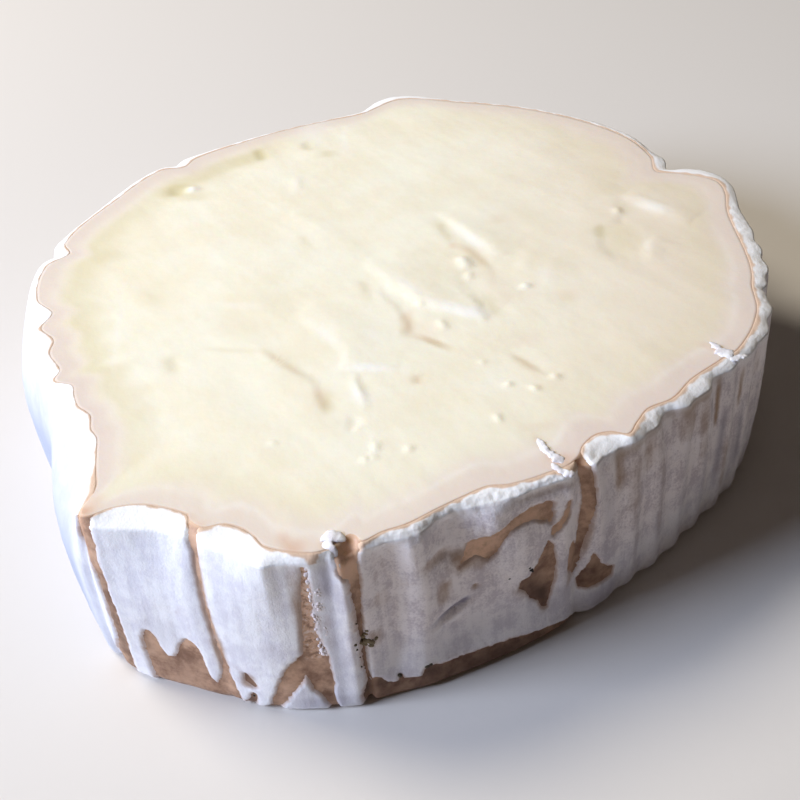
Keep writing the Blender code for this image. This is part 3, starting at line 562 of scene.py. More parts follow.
cutFace = {
    # tears where the knife dragged the paste: height of the flap and depth of the trough beside
    # it, their widths, the width of the step between them, and the line in x and y.  The flap is
    # on the right of the way the line runs.
    "tears": [
        (0.05, 0.07, 3, 2.6, 0.65, [(-17.8, -14), (-15.2, -17.6), (-13.4, -20), (-11.3, -21.9),
         (-10.3, -24.5), (-9.5, -29.4)]),
        (0, 0.05, 1, 1.6, 0.46, [(-25, -14.3), (-21, -15.2), (-17.6, -16)]),
        (0.18, 0, 4, 1, 1.15, [(-6.8, -20), (-7.6, -16), (-9.6, -12.6), (-13.2, -8.4)]),
        (0.27, 0, 6, 1, 1.03, [(10.4, -13.2), (9.2, -12.2), (6, -10.6), (2.4, -8), (-0.6, -4),
         (-4.4, 2.6)]),
        (0.09, 0.02, 2.5, 1.8, 0.7, [(8.8, -7.2), (10.2, -10.2), (10.3, -13.4)]),
        (0, 0.11, 1, 2.4, 0.65, [(-2.4, -4.2), (-0.8, -8), (0.4, -10.5), (0.9, -13), (0.1, -15.6)]),
        (0, 0.1, 1, 2.5, 0.7, [(-0.4, -14.4), (2.4, -15.6), (3.8, -17), (5.9, -19)]),
        (0, 0.08, 1, 2.2, 0.75, [(6, 12.5), (7, 8), (8.2, 5), (9, 3)]),
        (0.22, 0, 4.5, 1, 1.03, [(13.6, 0.8), (11.4, 5), (9, 9), (6.4, 13.6)]),
        (0, 0.09, 1, 2, 0.57, [(8.7, 5.2), (10.7, 2.2), (11.8, -0.5), (12.8, -4.2)]),
        (0, 0.08, 1, 3.2, 0.9, [(7.5, 3), (8, -2), (8.3, -5.5), (9.4, -8), (10.6, -13.4)]),
        (0.1, 0, 3, 1, 1.38, [(15, -5), (16.8, 1.5), (18.8, 5)]),
        (0.08, 0, 3, 1, 1.72, [(17.8, -8), (19, -2.5), (21, 2)]),
        (0.13, 0, 2.5, 1, 0.46, [(-1, -22), (-4.2, -21.2), (-7.8, -20.7)]),
        (0.14, 0.03, 0.9, 1.2, 0.55, [(-5.8, -21.6), (-5.3, -25), (-4.4, -28.8)]),
        (0.04, 0.08, 1, 1.4, 0.6, [(11.8, -19), (13.6, -22), (15.4, -24.2), (17.2, -25.8)]),
        (0, 0.12, 1, 4, 0.8, [(31, 14), (31.6, 9.5), (30.2, 7.6), (28, 6.9), (27.2, 4.5), (27.4, 1),
         (28.6, -2.4)]),
        (0.26, 0, 3.5, 1, 1.61, [(39.8, 5.8), (36.8, 8.8), (34.6, 11), (32.4, 14.8)]),
        (0.13, 0, 3, 1, 1.03, [(32.2, -2.8), (32.8, 1), (34.8, 3.2)]),
        (0, 0.05, 1, 3, 0.57, [(27.4, -1), (30.2, -1.6), (32.8, -2.4)]),
        (0, 0.06, 1, 1.4, 0.57, [(-4.5, -1.6), (-4, -5), (-3.4, -8.4)]),
        (0.06, 0, 3, 1, 1.15, [(-15.6, -7), (-20, -6), (-25.4, -4.8)]),
        (0, 0.04, 1, 1.5, 0.69, [(-12.6, 11), (-11.6, 8), (-10.4, 5)]),
        (0.08, 0, 3, 1, 1.38, [(-8.8, 9), (-11, 12.6), (-14.4, 16)]),
    ],
    # lumps and pits: x, y, half width, half length, height, and a lean where there is one
    "lumps": [
        (9, 0.3, 0.9, 1.5, 0.3, 15), (9.3, -3, 0.5, 1, 0.14), (5, -13.3, 0.6, 1, 0.16, 20),
        (16.2, -6.3, 0.6, 0.7, 0.22), (-28.1, 25.4, 0.9, 0.9, 0.22), (-30.4, 25.2, 1.2, 1.2, -0.16),
        (-27.3, -17.3, 0.9, 1.6, -0.1, 15), (-18.4, 34.6, 0.9, 1.8, -0.12, 15),
        (-11.4, 36.5, 0.8, 1.2, -0.12), (31, 10.4, 0.5, 0.8, 0.16), (-6.3, -31, 0.7, 1.2, -0.12),
        (1.4, -23.9, 0.6, 0.7, -0.08), (2.6, -8.6, 0.6, 0.6, 0.12), (-13, 24.6, 0.8, 1.8, 0.07),
        (17, -25.4, 0.6, 0.5, 0.2), (9, -21.5, 0.4, 0.4, 0.1), (11.5, -26.1, 0.55, 0.4, 0.16, 20),
        (14.4, -27.2, 0.6, 0.45, 0.18, -20), (-15.3, -33.3, 0.45, 0.4, 0.1),
        (-6, -31.9, 0.45, 0.45, 0.12), (-4.1, -35.2, 0.45, 0.8, 0.15), (-4.4, -37, 0.4, 0.45, 0.12),
        (-5.3, -37.3, 0.5, 0.45, 0.16), (-0.5, -36, 0.45, 0.6, 0.16),
        (9.6, -32, 0.4, 0.7, 0.14, 10),
    ],
    # olive, pale and tan marks, as above but with a strength.  Olive and tan are partly stains,
    # partly painted shade in pits, hollows, on the dark side of tears and under the shreds; pale is
    # partly smears, mostly painted highlights on flaps, ridges and bumps
    "olive": [
        (-30.4, 25.5, 1.7, 1.7, 0.8), (-28, 23.2, 2.4, 1.2, 0.4), (-26.5, 30, 5.5, 2, 0.4, 38),
        (-20.6, 33.6, 3, 1.8, 0.4, 25), (-18.5, 35, 1, 2, 0.65, 15), (-11.2, 36.5, 0.9, 1.6, 0.55),
        (-8.4, 33.4, 1.3, 1.1, 0.45), (-27.4, -17.2, 1.2, 2, 0.32, 15),
        (-9.4, -26.8, 1, 1.9, 0.6, 5), (-4.2, -4.8, 0.9, 2.6, 0.22, 5),
        (7.2, 8.5, 0.9, 2.6, 0.4, 12), (1.3, -23.8, 1, 1, 0.2), (32, 11.2, 1.1, 1.8, 0.3),
        (27.6, 5.4, 0.8, 1.4, 0.55), (30, 3.2, 2.6, 4, 0.4), (3.9, -16.9, 2, 0.6, 0.6, -42),
        (0.7, -12.6, 0.9, 2.2, 0.35), (-12, 8.6, 0.9, 1.6, 0.3, 10), (11.2, -10, 1.1, 2.6, 0.5, 10),
        (-4.8, -25.6, 0.6, 1.8, 0.3), (13.8, -22.3, 0.8, 2, 0.3, 35), (20.9, -9.8, 1, 1.6, 0.25),
        (-14.4, -18.9, 0.5, 3.6, 0.3, 40), (10.6, 1.6, 0.6, 3, 0.35, 30),
        (-20.5, -15.2, 0.5, 3.4, 0.25, 78), (-31.5, -1, 1.6, 3, 0.16),
    ],
    # mostly painted highlights on the flaps, ridges and bumps of the cut face
    "pale": [
        (-28.1, 25.4, 0.8, 0.8, 0.9), (-10.5, 40.5, 2.4, 4, 0.45), (-5.8, 37.5, 0.7, 4, 0.45),
        (-13, 24.2, 0.5, 2.2, 0.35), (7, -10.4, 3.4, 1.1, 0.9, -32),
        (1.5, -4.5, 4.5, 0.8, 0.5, -52), (9.6, -11.2, 1.3, 1.2, 0.6),
        (10.6, 5.6, 3.6, 0.9, 0.65, -58), (36, 10.6, 2.6, 1.2, 0.8, -45),
        (-4.3, -20.9, 2.8, 0.8, 1, -8), (-5, -26.4, 0.9, 1.4, 0.7),
        (-9.2, -13.8, 3.4, 0.7, 0.5, -62), (-3.6, -14.2, 1.6, 0.7, 0.45, -40),
        (9, 0.4, 0.8, 1.4, 0.45, 15), (19, -4.2, 1.1, 2, 0.35), (-5.9, -25.2, 0.4, 1.8, 0.5),
        (33.2, 1, 0.6, 1.2, 0.45), (-20.5, -5.8, 3.6, 0.7, 0.3, -10), (16.2, -6.4, 0.7, 0.8, 0.5),
        (-35, -10, 0.5, 8, 0.3, 3),
    ],
    # partly painted shade along the tears and under the shreds
    "tan": [
        (-14.2, -18.9, 0.45, 3.6, 0.26, 40), (-10, -26, 0.8, 2.2, 0.32, 10),
        (0.7, -12, 0.8, 2.2, 0.4), (3.6, -16.6, 2.2, 0.6, 0.35, -42),
        (2.6, -14.4, 2.4, 2, 0.18, -30), (12.8, -6, 1.8, 4.5, 0.16, 15),
        (10.6, 1.8, 0.7, 3.2, 0.35, 28), (7.9, 4.6, 0.6, 0.8, 0.3), (1.3, -23.8, 0.9, 0.9, 0.28),
        (14, -22.6, 0.6, 2, 0.3, 35), (-13.6, -49.2, 0.8, 1.8, 0.6, 20),
        (-12.4, -49.8, 0.9, 1.2, 0.5), (-9, -50, 1.4, 1, 0.75), (-24.3, -44.6, 1.2, 1, 0.65),
        (-23.2, -45.6, 1.4, 0.5, 0.5, 20), (-35, -42.3, 1.2, 1, 0.8),
        (-34, -40.9, 0.8, 1.6, 0.45, -30), (15.6, -40, 1.4, 1.2, 0.7),
        (13.8, -37.6, 0.5, 2.2, 0.55, 15), (13.8, -34, 1.8, 0.8, 0.22),
        (36.6, -22.6, 2.4, 0.6, 0.5, -35), (14.5, 10.6, 1.4, 1.2, 0.18),
        (14.2, -17.6, 2.6, 1.6, 0.16), (21, -9, 1.6, 1.4, 0.16),
    ],
    "smear": (0.57, -0.82),  # the way the knife dragged the paste
    "smearScale": 0.28,
    # height and widest mark in mm of the dragged, the broad and the fine unevenness
    "unevenness": [(0.045, 4.5), (0.07, 13.0), (0.007, 1.1)],
    "wander": (0.35, 2.4),   # mm by which the tears wander, and over what length
}


def tearRelief(x, y, tear):
    # the step that a tear leaves along its line, and fades out at both ends
    flap, trough, flapWide, troughWide, stepWide, line = tear
    spans = [math.dist(a, b) for a, b in zip(line, line[1:])]
    total, walked = sum(spans), 0.0
    nearest = np.full(x.shape, 1e9)
    side = np.zeros(x.shape)
    run = np.zeros(x.shape)
    for (x0, y0), (x1, y1), span in zip(line, line[1:], spans):
        dx, dy = (x1 - x0) / span, (y1 - y0) / span
        along = np.clip((x - x0) * dx + (y - y0) * dy, 0.0, span)
        offX, offY = x - x0 - dx * along, y - y0 - dy * along
        away = np.hypot(offX, offY)
        closer = away < nearest
        nearest = np.where(closer, away, nearest)
        side = np.where(closer, np.sign(dx * offY - dy * offX) * away, side)
        run = np.where(closer, (walked + along) / total, run)
        walked += span
    over = smoothStep(side, -stepWide, stepWide)
    raised = flap * (1.0 - over) * np.exp(-(np.maximum(-side, 0.0) / flapWide) ** 2)
    sunk = trough * over * np.exp(-(np.maximum(side, 0.0) / troughWide) ** 2)
    return (raised - sunk) * np.sin(run * math.pi) ** 0.6


def cutRelief(x, y):
    points = np.stack([x, y, np.zeros(x.shape)], axis=-1)
    wander, length = cutFace["wander"]
    wanderX, wanderY = wander * lumps(points, length, 2), wander * lumps(points + 17.0, length, 2)
    relief = softSpots(x, y, cutFace["lumps"], 1.0)
    for tear in cutFace["tears"]:
        relief += tearRelief(x + wanderX, y + wanderY, tear)
    sx, sy = cutFace["smear"]
    along = (x * sx + y * sy) * cutFace["smearScale"]
    smeared = np.stack([along, x * sy - y * sx, 0 * x], axis=-1)
    (drag, dragSize), (broad, broadSize), (fine, fineSize) = cutFace["unevenness"]
    relief += drag * lumps(smeared, dragSize, 3) + broad * lumps(points + 40.0, broadSize, 2)
    return relief + fine * lumps(points + 9.0, fineSize, 2)


# how the paste changes towards the rind, with the angle: the translucent rosy creamline right
# under the rind, the riper olive band inside it, the pale line that the knife pressed along the
# rim, and how brown the seam is; widths are in mm
creamBand = {
    "width": [
        (-178, 4.5), (-150, 4), (-135, 4.5), (-120, 6), (-100, 7), (-80, 7), (-60, 6), (-30, 5),
        (10, 4), (30, 7), (60, 4.5), (95, 4), (135, 5),
    ],
    "rosy": [
        (-178, 0.85), (-150, 0.95), (-135, 0.9), (-120, 0.75), (-85, 0.8), (-70, 0.95), (-50, 0.95),
        (-10, 0.8), (30, 0.7), (90, 0.75), (135, 0.85),
    ],
    "olive": [
        (-178, 0.55), (-155, 0.6), (-135, 0.35), (-120, 0.2), (-60, 0.15), (-10, 0.25), (30, 0.25),
        (90, 0.05), (135, 0.3), (165, 0.6),
    ],
    "pale": [
        (-178, 0), (-122, 0.2), (-112, 0.4), (-104, 0.4), (-95, 0.4), (-70, 0.5), (-50, 0.2),
        (-30, 0.3), (-5, 0.3), (10, 0.1), (100, 0.1),
    ],
    "paleAt": [
        (-178, 3), (-104, 3), (-90, 3.4), (-70, 3.8), (-30, 2.6), (10, 2.4),
    ],
    "seam": [
        (-178, 0.1), (-136, 0.25), (-131, 0.9), (-126, 0.45), (-117, 0.8), (-106, 0.55), (-98, 0.9),
        (-85, 0.75), (-70, 0.6), (-62, 0.95), (-35, 0.95), (-20, 0.6), (10, 0.4), (90, 0.15),
        (170, 0.1),
    ],
    "widthWander": (1.0, 7.0),  # mm by which the width wanders, and over what length
    "paleWander": (0.5, 6.0),
    "paleHalfWidth": 0.55,
    "paleBroken": (0.65, 0.5, 5.0),  # strength of the pale line, how it varies, over what length
}


def creamMarks(x, y, angle, fromRim):
    # how much of each colour lies on the cut face
    def around(key):
        return aroundTable(angle, creamBand[key])

    flat = np.stack([x, y, 0 * x], axis=-1)
    wander, length = creamBand["widthWander"]
    width = around("width") + wander * lumps(flat, length, 2)
    rosy = (1.0 - smoothStep(fromRim, 0.1 * width, 1.2 * width)) * around("rosy")
    olive = smoothStep(fromRim, 0.5 * width, width) - smoothStep(fromRim, width, 2.2 * width)
    wander, length = creamBand["paleWander"]
    away = fromRim - around("paleAt") - wander * lumps(flat + 5.0, length, 2)
    strength, change, length = creamBand["paleBroken"]
    pale = np.exp(-(away / creamBand["paleHalfWidth"]) ** 2) * around("pale")
    pale = pale * (strength + change * lumps(flat + 23.0, length, 2))
    spots = {key: softSpots(x, y, cutFace[key], 1.0) for key in ("olive", "pale", "tan")}
    return {
        "rosy": rosy,
        "olive": np.clip(olive * around("olive") + spots["olive"], 0.0, 1.0),
        "pale": np.clip(pale + spots["pale"], 0.0, 1.0),
        "tan": np.clip(spots["tan"], 0.0, 1.0),
    }


pasteShape = {
    "cells": 240,            # squares across the cut face, about 0.4 mm each
    "gridTurn": 17.0,        # keeps the grid's diagonals off the tears
    "wallPath": [0.0, 0.25, 0.5, 0.8] + [1.0 + 0.04 * i for i in range(25)] + [2.0, 2.5, 3.0],
    "underRings": [0.985, 0.9, 0.7, 0.45, 0.2],
    "lowest": 0.04,          # keeps the paste off the floor, where only the rind touches it
    "uneven": (0.05, 2.4),   # height and widest mark of the bare skin on the side
    "paintedShadeRight": (4.0, 44.0),
}


def makePaste():
    shape, thick = pasteShape, sliceShape["rindThick"]
    cells = shape["cells"]
    ticks = np.linspace(-1.0, 1.0, cells + 1)
    u, v = np.meshgrid(ticks, ticks, indexing="ij")
    wide = np.abs(u) >= np.abs(v)
    reach = np.where(wide, u, v)
    with np.errstate(divide="ignore", invalid="ignore"):
        turn = np.where(wide, v / u * math.pi / 4, math.pi / 2 - u / v * math.pi / 4)
    turn = np.nan_to_num(turn) + math.radians(shape["gridTurn"])
    unitX, unitY = reach * np.cos(turn), reach * np.sin(turn)
    share = np.abs(reach)
    angle = np.degrees(np.arctan2(unitY, unitX))

    # the ring of grid points round the cut face, and the wall below it
    ringCells = [(cells, j) for j in range(cells)] + [(i, cells) for i in range(cells, 0, -1)]
    ringCells += [(0, j) for j in range(cells, 0, -1)] + [(i, 0) for i in range(cells)]
    ringAngles = np.array([angle[cell] for cell in ringCells])
    path = np.array(shape["wallPath"])
    wall = sliceProfile(ringAngles, path)
    across, up = wallPlane(wall["angle"], wall["up"])
    height, size = shape["uneven"]
    uneven = height * lumps(standsAt(wall, 0.0) + 11.0, size, 3)
    uneven = uneven * smoothStep(path[:, None], 0.8, 1.2)
    under = (dentHeight(across, up) - thick) * smoothStep(path[:, None], 0.0, 0.35)
    wallPoints = standsAt(wall, under + uneven)
    wallPoints[..., 2] = np.maximum(wallPoints[..., 2], shape["lowest"])

    order = np.argsort(ringAngles)
    edge = np.interp(angle, ringAngles[order], np.hypot(
        wallPoints[0, order, 0], wallPoints[0, order, 1]), period=360.0)
    x, y = unitX * edge, unitY * edge
    fromRim = edge * (1.0 - share)
    z = cutFaceHeight(x, y) + cutRelief(x, y) * smoothStep(fromRim, 0.3, 3.0)
    points = [np.stack([x, y, z], axis=-1).reshape(-1, 3)] + list(wallPoints[1:])
    lowest = wallPoints[-1]
    points += [lowest * np.array([s, s, 1.0]) for s in shape["underRings"]]
    points.append(np.array([[0.0, 0.0, float(lowest[:, 2].mean())]]))
    points = np.concatenate(points)

    side = cells + 1
    faces = [
        (i * side + j, (i + 1) * side + j, (i + 1) * side + j + 1, i * side + j + 1)
        for i in range(cells) for j in range(cells)
    ]
    above = [i * side + j for i, j in ringCells]
    centre = len(points) - 1
    for start in range(side * side, centre, len(above)):
        ring = list(range(start, start + len(above)))
        faces += bandFaces(above, ring)
        above = ring
    faces += [(above[k - 1], centre, above[k]) for k in range(len(above))]

    def everywhere(onFace, onWall, below=0.0):
        values = np.full(len(points), below, float)
        values[:side * side] = np.broadcast_to(onFace, x.shape).ravel()
        walls = np.broadcast_to(onWall, wall["angle"].shape)[1:]
        values[side * side:side * side + walls.size] = walls.ravel()
        return values

    strip = insideStroke(across, up, wallMarks["crumbStrip"])
    onSide = smoothStep(path[:, None], 0.0, 0.4) * (1.0 - smoothStep(path[:, None], 2.6, 3.0))
    values = {
        "fromRim": everywhere(fromRim, 0.0, 9.0),
        # painted shade: the cut face darker towards the right, away from the lamps
        "paintedShadeRight": everywhere(smoothStep(x, *shape["paintedShadeRight"]), 0.0),
        "seam": everywhere(aroundTable(angle, creamBand["seam"]), 1.0),
        "sideWall": everywhere(0.0, onSide),
        "crumbly": everywhere(0.0, smoothStep(strip, -0.5, 0.5)),
    }
    for key, amount in creamMarks(x, y, angle, fromRim).items():
        values[key] = everywhere(amount, 0.0)
    for key in ("riper", "fresh"):
        values[key] = everywhere(0.0, np.clip(softSpots(across, up, wallMarks[key]), 0.0, 1.0))
    return makeMesh("paste", points, faces, values)


smallBits = {
    "columns": 14,           # points round a ribbon or a pebble
    "pebbleRings": 6,
}


def closedSkin(rings):
    # rings of points from one tip to the other, with a point at each end
    points = np.concatenate([rings[:1].mean(axis=1), rings.reshape(-1, 3),
                             rings[-1:].mean(axis=1)])
    numbers = np.arange(1, len(points) - 1).reshape(rings.shape[:2]).tolist()
    faces = []
    for above, below in zip(numbers, numbers[1:]):
        faces += bandFaces(above, below)
    first, last = numbers[0], numbers[-1]
    for k in range(len(first)):
        faces.append((0, first[k - 1], first[k]))
        faces.append((last[k - 1], len(points) - 1, last[k]))
    return points, faces


def pebble(centre, halfSizes, turn):
    # a small uneven lump
    rings, columns = smallBits["pebbleRings"], smallBits["columns"]
    down = (np.arange(1, rings + 1) * math.pi / (rings + 1))[:, None]
    about = (np.arange(columns) * 2.0 * math.pi / columns)[None, :]
    unit = np.stack([np.sin(down) * np.cos(about), np.sin(down) * np.sin(about),
                     np.cos(down) + 0.0 * about], axis=-1)
    swell = 1.0 + 0.4 * lumps(unit + np.asarray(centre), 1.1, 2)
    turned = np.array(Matrix.Rotation(math.radians(turn), 3, "Z"))
    return closedSkin((unit * swell[..., None] * halfSizes) @ turned.T + centre)


rindShreds = {
    "ribbonSteps": 10,       # rings for each leg of a ribbon's line
    "smoothings": 12,        # of that line
    # torn strips of rind: half thickness, how ragged, tip, and x, y, height over the cut face and
    # half width along the line
    "ribbons": [
        (0.2, 0.25, 18, [(-9.25, -50.85, -4, 0.35), (-9.25, -50.8, -2.4, 0.6),
         (-9.28, -50.65, -1, 0.72), (-9.4, -50.3, -0.1, 0.76), (-9.6, -49.7, 0.06, 0.76),
         (-9.75, -49.2, 0.04, 0.6)]),
        (0.19, 0.2, 4, [(-10.2, -49.1, 0, 0.35), (-9.7, -48.8, 0.16, 0.66), (-9, -48.7, 0.22, 0.86),
         (-8.3, -48.9, 0.12, 0.8), (-7.7, -49.2, -0.05, 0.45)]),
        (0.22, 0.4, 4, [(13.4, -35.9, -0.12, 0.35), (13.7, -36.8, -0.02, 0.58),
         (13.9, -37.8, -0.06, 0.34), (14.4, -38.7, 0, 0.5), (15.1, -39.5, 0.04, 0.8),
         (15.7, -40.3, -0.15, 0.6)]),
        (0.22, 0.5, 0, [(14.3, -40.2, -0.08, 0.3), (14.8, -41.1, 0.02, 0.5),
         (15.7, -41.9, -0.1, 0.6), (16.5, -42, -0.2, 0.4)]),
        (0.26, 0.5, 6, [(35.9, -20.9, -0.14, 0.4), (36.3, -21.9, -0.08, 0.72),
         (36.8, -23, -0.06, 0.9), (37.3, -24.2, -0.2, 1.05), (37.8, -25.2, -0.6, 1)]),
        (0.18, 0.5, 6, [(36.9, -24.3, -0.26, 0.5), (38.2, -24.2, -0.2, 0.75),
         (39.6, -23.7, -0.4, 0.55)]),
    ],
    # white crumbs on the right half of the crumbly strip: how many, angles, heights, half sizes
    "stripCount": 70,
    "stripAngles": (-103.3, -101.9),
    "stripHeights": (9.0, 22.8),
    "stripSizes": (0.08, 0.30),
    "spreadSteps": (0.754878, 0.569840, 0.389100),
}


def ribbon(thick, ragged, tip, line):
    # a torn strip that lies on the cut face, thin at both ends
    rows = np.array(line, float)
    rows[:, 2] += cutFaceHeight(rows[:, 0], rows[:, 1])
    legs = len(rows) - 1
    steps = np.linspace(0.0, legs, legs * rindShreds["ribbonSteps"] + 1)
    path = np.stack([np.interp(steps, np.arange(legs + 1), column) for column in rows.T], axis=-1)
    for _ in range(rindShreds["smoothings"]):
        path[1:-1] = (path[:-2] + 2.0 * path[1:-1] + path[2:]) / 4.0
    ahead = np.gradient(path[:, :3], axis=0)
    ahead /= np.linalg.norm(ahead, axis=1, keepdims=True)
    side = np.cross(ahead, (0.0, 0.0, 1.0))
    side /= np.linalg.norm(side, axis=1, keepdims=True)
    over = np.cross(side, ahead)
    cosine, sine = math.cos(math.radians(tip)), math.sin(math.radians(tip))
    side, over = side * cosine + over * sine, over * cosine - side * sine
    about = np.arange(smallBits["columns"]) * 2.0 * math.pi / smallBits["columns"]
    taper = np.sin((steps / legs * 0.98 + 0.01) * math.pi)[:, None] ** 0.3
    around = np.stack([np.cos(about), np.sin(about)], axis=-1)[None, :, :]
    around = np.sign(around) * np.abs(around) ** 0.8
    where = path[:, None, :3] + side[:, None, :] * around[..., :1] * path[:, None, 3:]
    uneven = 1.0 + ragged * (lumps(where, 1.6, 2) + lumps(where, 0.5, 2))
    wide = (around[..., 0] * taper * path[:, 3:] * uneven)[..., None]
    deep = (around[..., 1] * taper * thick * uneven)[..., None]
    return closedSkin(path[:, None, :3] + side[:, None, :] * wide + over[:, None, :] * deep)


def pileMesh(name, bits, values):
    # bits joined into one mesh; each value holds one number a bit, or one for all
    points, faces, owner = [], [], []
    start = 0
    for index, (bitPoints, bitFaces) in enumerate(bits):
        points.append(bitPoints)
        faces += [tuple(corner + start for corner in face) for face in bitFaces]
        owner += [index] * len(bitPoints)
        start += len(bitPoints)
    spread = {key: np.broadcast_to(numbers, len(bits))[owner] for key, numbers in values.items()}
    return makeMesh(name, np.concatenate(points), faces, spread)


def wallPoint(angle, z, out):
    # a point so far out from the skin of the wall
    angles = np.array([angle], float)
    top = sliceProfile(angles, np.array([1.0, 1.1]))["height"][0, 0]
    path = 1.0 + (top - z) / (top - sliceShape["footRound"])
    profile = sliceProfile(angles, np.array([path, path + 0.01]))
    across, up = wallPlane(profile["angle"], profile["up"])
    return standsAt(profile, out + dentHeight(across, up))[0, 0]


def makeShreds():
    # the ribbons on the rim, and crumbs spread evenly over the strip
    look = rindShreds
    bits, beige = [ribbon(*row) for row in look["ribbons"]], [0.0] * len(look["ribbons"])
    ranges = (look["stripAngles"], look["stripHeights"], look["stripSizes"])
    for k in range(look["stripCount"]):
        places = [(0.5 + (k + 1) * step) % 1.0 for step in look["spreadSteps"]]
        angle, z, half = [low + (high - low) * place for place, (low, high) in zip(places, ranges)]
        angle += 0.3 * noise.noise((z * 0.5, 3.0, 1.0))
        centre = wallPoint(angle, z, -0.5 * half - 0.5 * sliceShape["rindThick"])
        bits.append(pebble(centre, (half, half, 1.3 * half), angle + 90.0))
        beige.append(1.0)
    return pileMesh("rind_shreds", bits, {"bare": -5.0, "beige": beige, "wornAndShaded": 0.25})


# dried crumbs on the wall: angle, height, half size, darkness
driedCrumbs = [
    (-75.55, 12.4, 0.27, 1), (-75.85, 12.9, 0.16, 0.9), (-78.9, 12.4, 0.14, 0.9),
    (-75.3, 12, 0.15, 0.9), (-99, 10.6, 0.22, 0.6), (-98.9, 9.7, 0.16, 0.8),
    (-98.4, 10.2, 0.34, 0.1), (-98.1, 10.9, 0.32, 0), (-97.7, 10.4, 0.44, 0.1),
    (-98, 9.8, 0.4, 0.2), (-97.2, 10.1, 0.42, 0.15), (-96.7, 10.3, 0.32, 0.1),
    (-97.3, 9.6, 0.34, 0.2), (-97.8, 11.5, 0.26, 0.05), (-97.6, 12, 0.2, 0.1),
    (-98.7, 6.6, 0.14, 0.8), (-98.6, 13.6, 0.12, 0.8), (-98.7, 8.2, 0.13, 0.8),
    (-111.8, 2.3, 0.16, 0.9), (-90.9, 3.9, 0.3, 0.75), (-90.4, 4, 0.26, 0.8),
    (-94.4, 3.3, 0.26, 0.7),
]


def makeDriedCrumbs():
    bits = [pebble(wallPoint(angle, z, 0.0), (half, 0.6 * half, 0.8 * half), angle + 90.0)
            for angle, z, half, _ in driedCrumbs]
    return pileMesh("dried_crumbs", bits, {"dark": [row[3] for row in driedCrumbs]})


def hexColour(code):
    # an sRGB hex colour as the linear values that the shader wants
    channels = [int(code[i:i + 2], 16) / 255.0 for i in (1, 3, 5)]
    linear = [c / 12.92 if c <= 0.04045 else ((c + 0.055) / 1.055) ** 2.4 for c in channels]
    return (*linear, 1.0)


def addNode(tree, kind, settings=None, out=0, **links):
    # a node with its settings, handed back as one of its outputs; a link is a socket's name with
    # _ for a space, or _ and the socket's number
    node = tree.nodes.new(kind)
    for key, value in (settings or {}).items():
        setattr(node, key, value)
    for key, value in links.items():
        socket = node.inputs[int(key[1:]) if key[0] == "_" else key.replace("_", " ")]
        if isinstance(value, bpy.types.NodeSocket):
            tree.links.new(value, socket)
        elif isinstance(value, str):
            socket.default_value = hexColour(value)
        else:
            socket.default_value = value
    return node.outputs[out] if node.outputs else None


def newMaterial(name):
    material = bpy.data.materials.new(name)
    material.use_nodes = True
    material.node_tree.nodes.clear()
    return material, material.node_tree


def readSurface(tree, look):
    # sockets by name: the marks stored on the mesh, the noises of the look, its sums, each one
    # socket times a factor plus another, and its soft steps through any of these
    read = {
        name: addNode(tree, "ShaderNodeAttribute", {"attribute_name": name}, "Fac")
        for name in look["marks"]
    }
    place = addNode(tree, "ShaderNodeTexCoord", out="Object")
    for name, (size, detail, roughness, upScale) in look["noises"].items():
        vector = addNode(tree, "ShaderNodeMapping", Vector=place, Scale=(1.0, 1.0, upScale))
        read[name] = addNode(tree, "ShaderNodeTexNoise", Vector=vector, Detail=detail,
                             Roughness=roughness, Scale=1.0 / (size * millimetre))
    for name, (first, factor, second) in look["sums"].items():
        read[name] = addNode(tree, "ShaderNodeMath", {"operation": "MULTIPLY_ADD"},
                             _0=read[first], _1=factor, _2=read.get(second, second))
    for name, (value, low, high, least, most) in look["steps"].items():
        read[name] = addNode(tree, "ShaderNodeMapRange", {"interpolation_type": "SMOOTHSTEP"},
                             Value=read[value], From_Min=low, From_Max=high, To_Min=least,
                             To_Max=most)
    return read


def layered(tree, look, read, base, layers):
    # colours laid over a base: which, where it shows, and how much of it or where else it must be
    colour = base
    for tint, where, share in layers:
        amount = addNode(tree, "ShaderNodeMath", {"operation": "MULTIPLY"}, _0=read[where],
                         _1=read.get(share, share))
        colour = addNode(tree, "ShaderNodeMix", {"data_type": "RGBA"}, 2, _0=amount, _6=colour,
                         _7=look[tint])
    return colour


def finishSurface(tree, look, colour, roughness, height):
    # the shader, with the fine relief as bump
    strength, depth = look["relief"]
    bump = addNode(tree, "ShaderNodeBump", Strength=strength, Distance=depth * millimetre,
                   Height=height)
    shader = addNode(tree, "ShaderNodeBsdfPrincipled", Base_Color=colour, Roughness=roughness,
                     Normal=bump, **look["shader"])
    addNode(tree, "ShaderNodeOutputMaterial", Surface=shader)


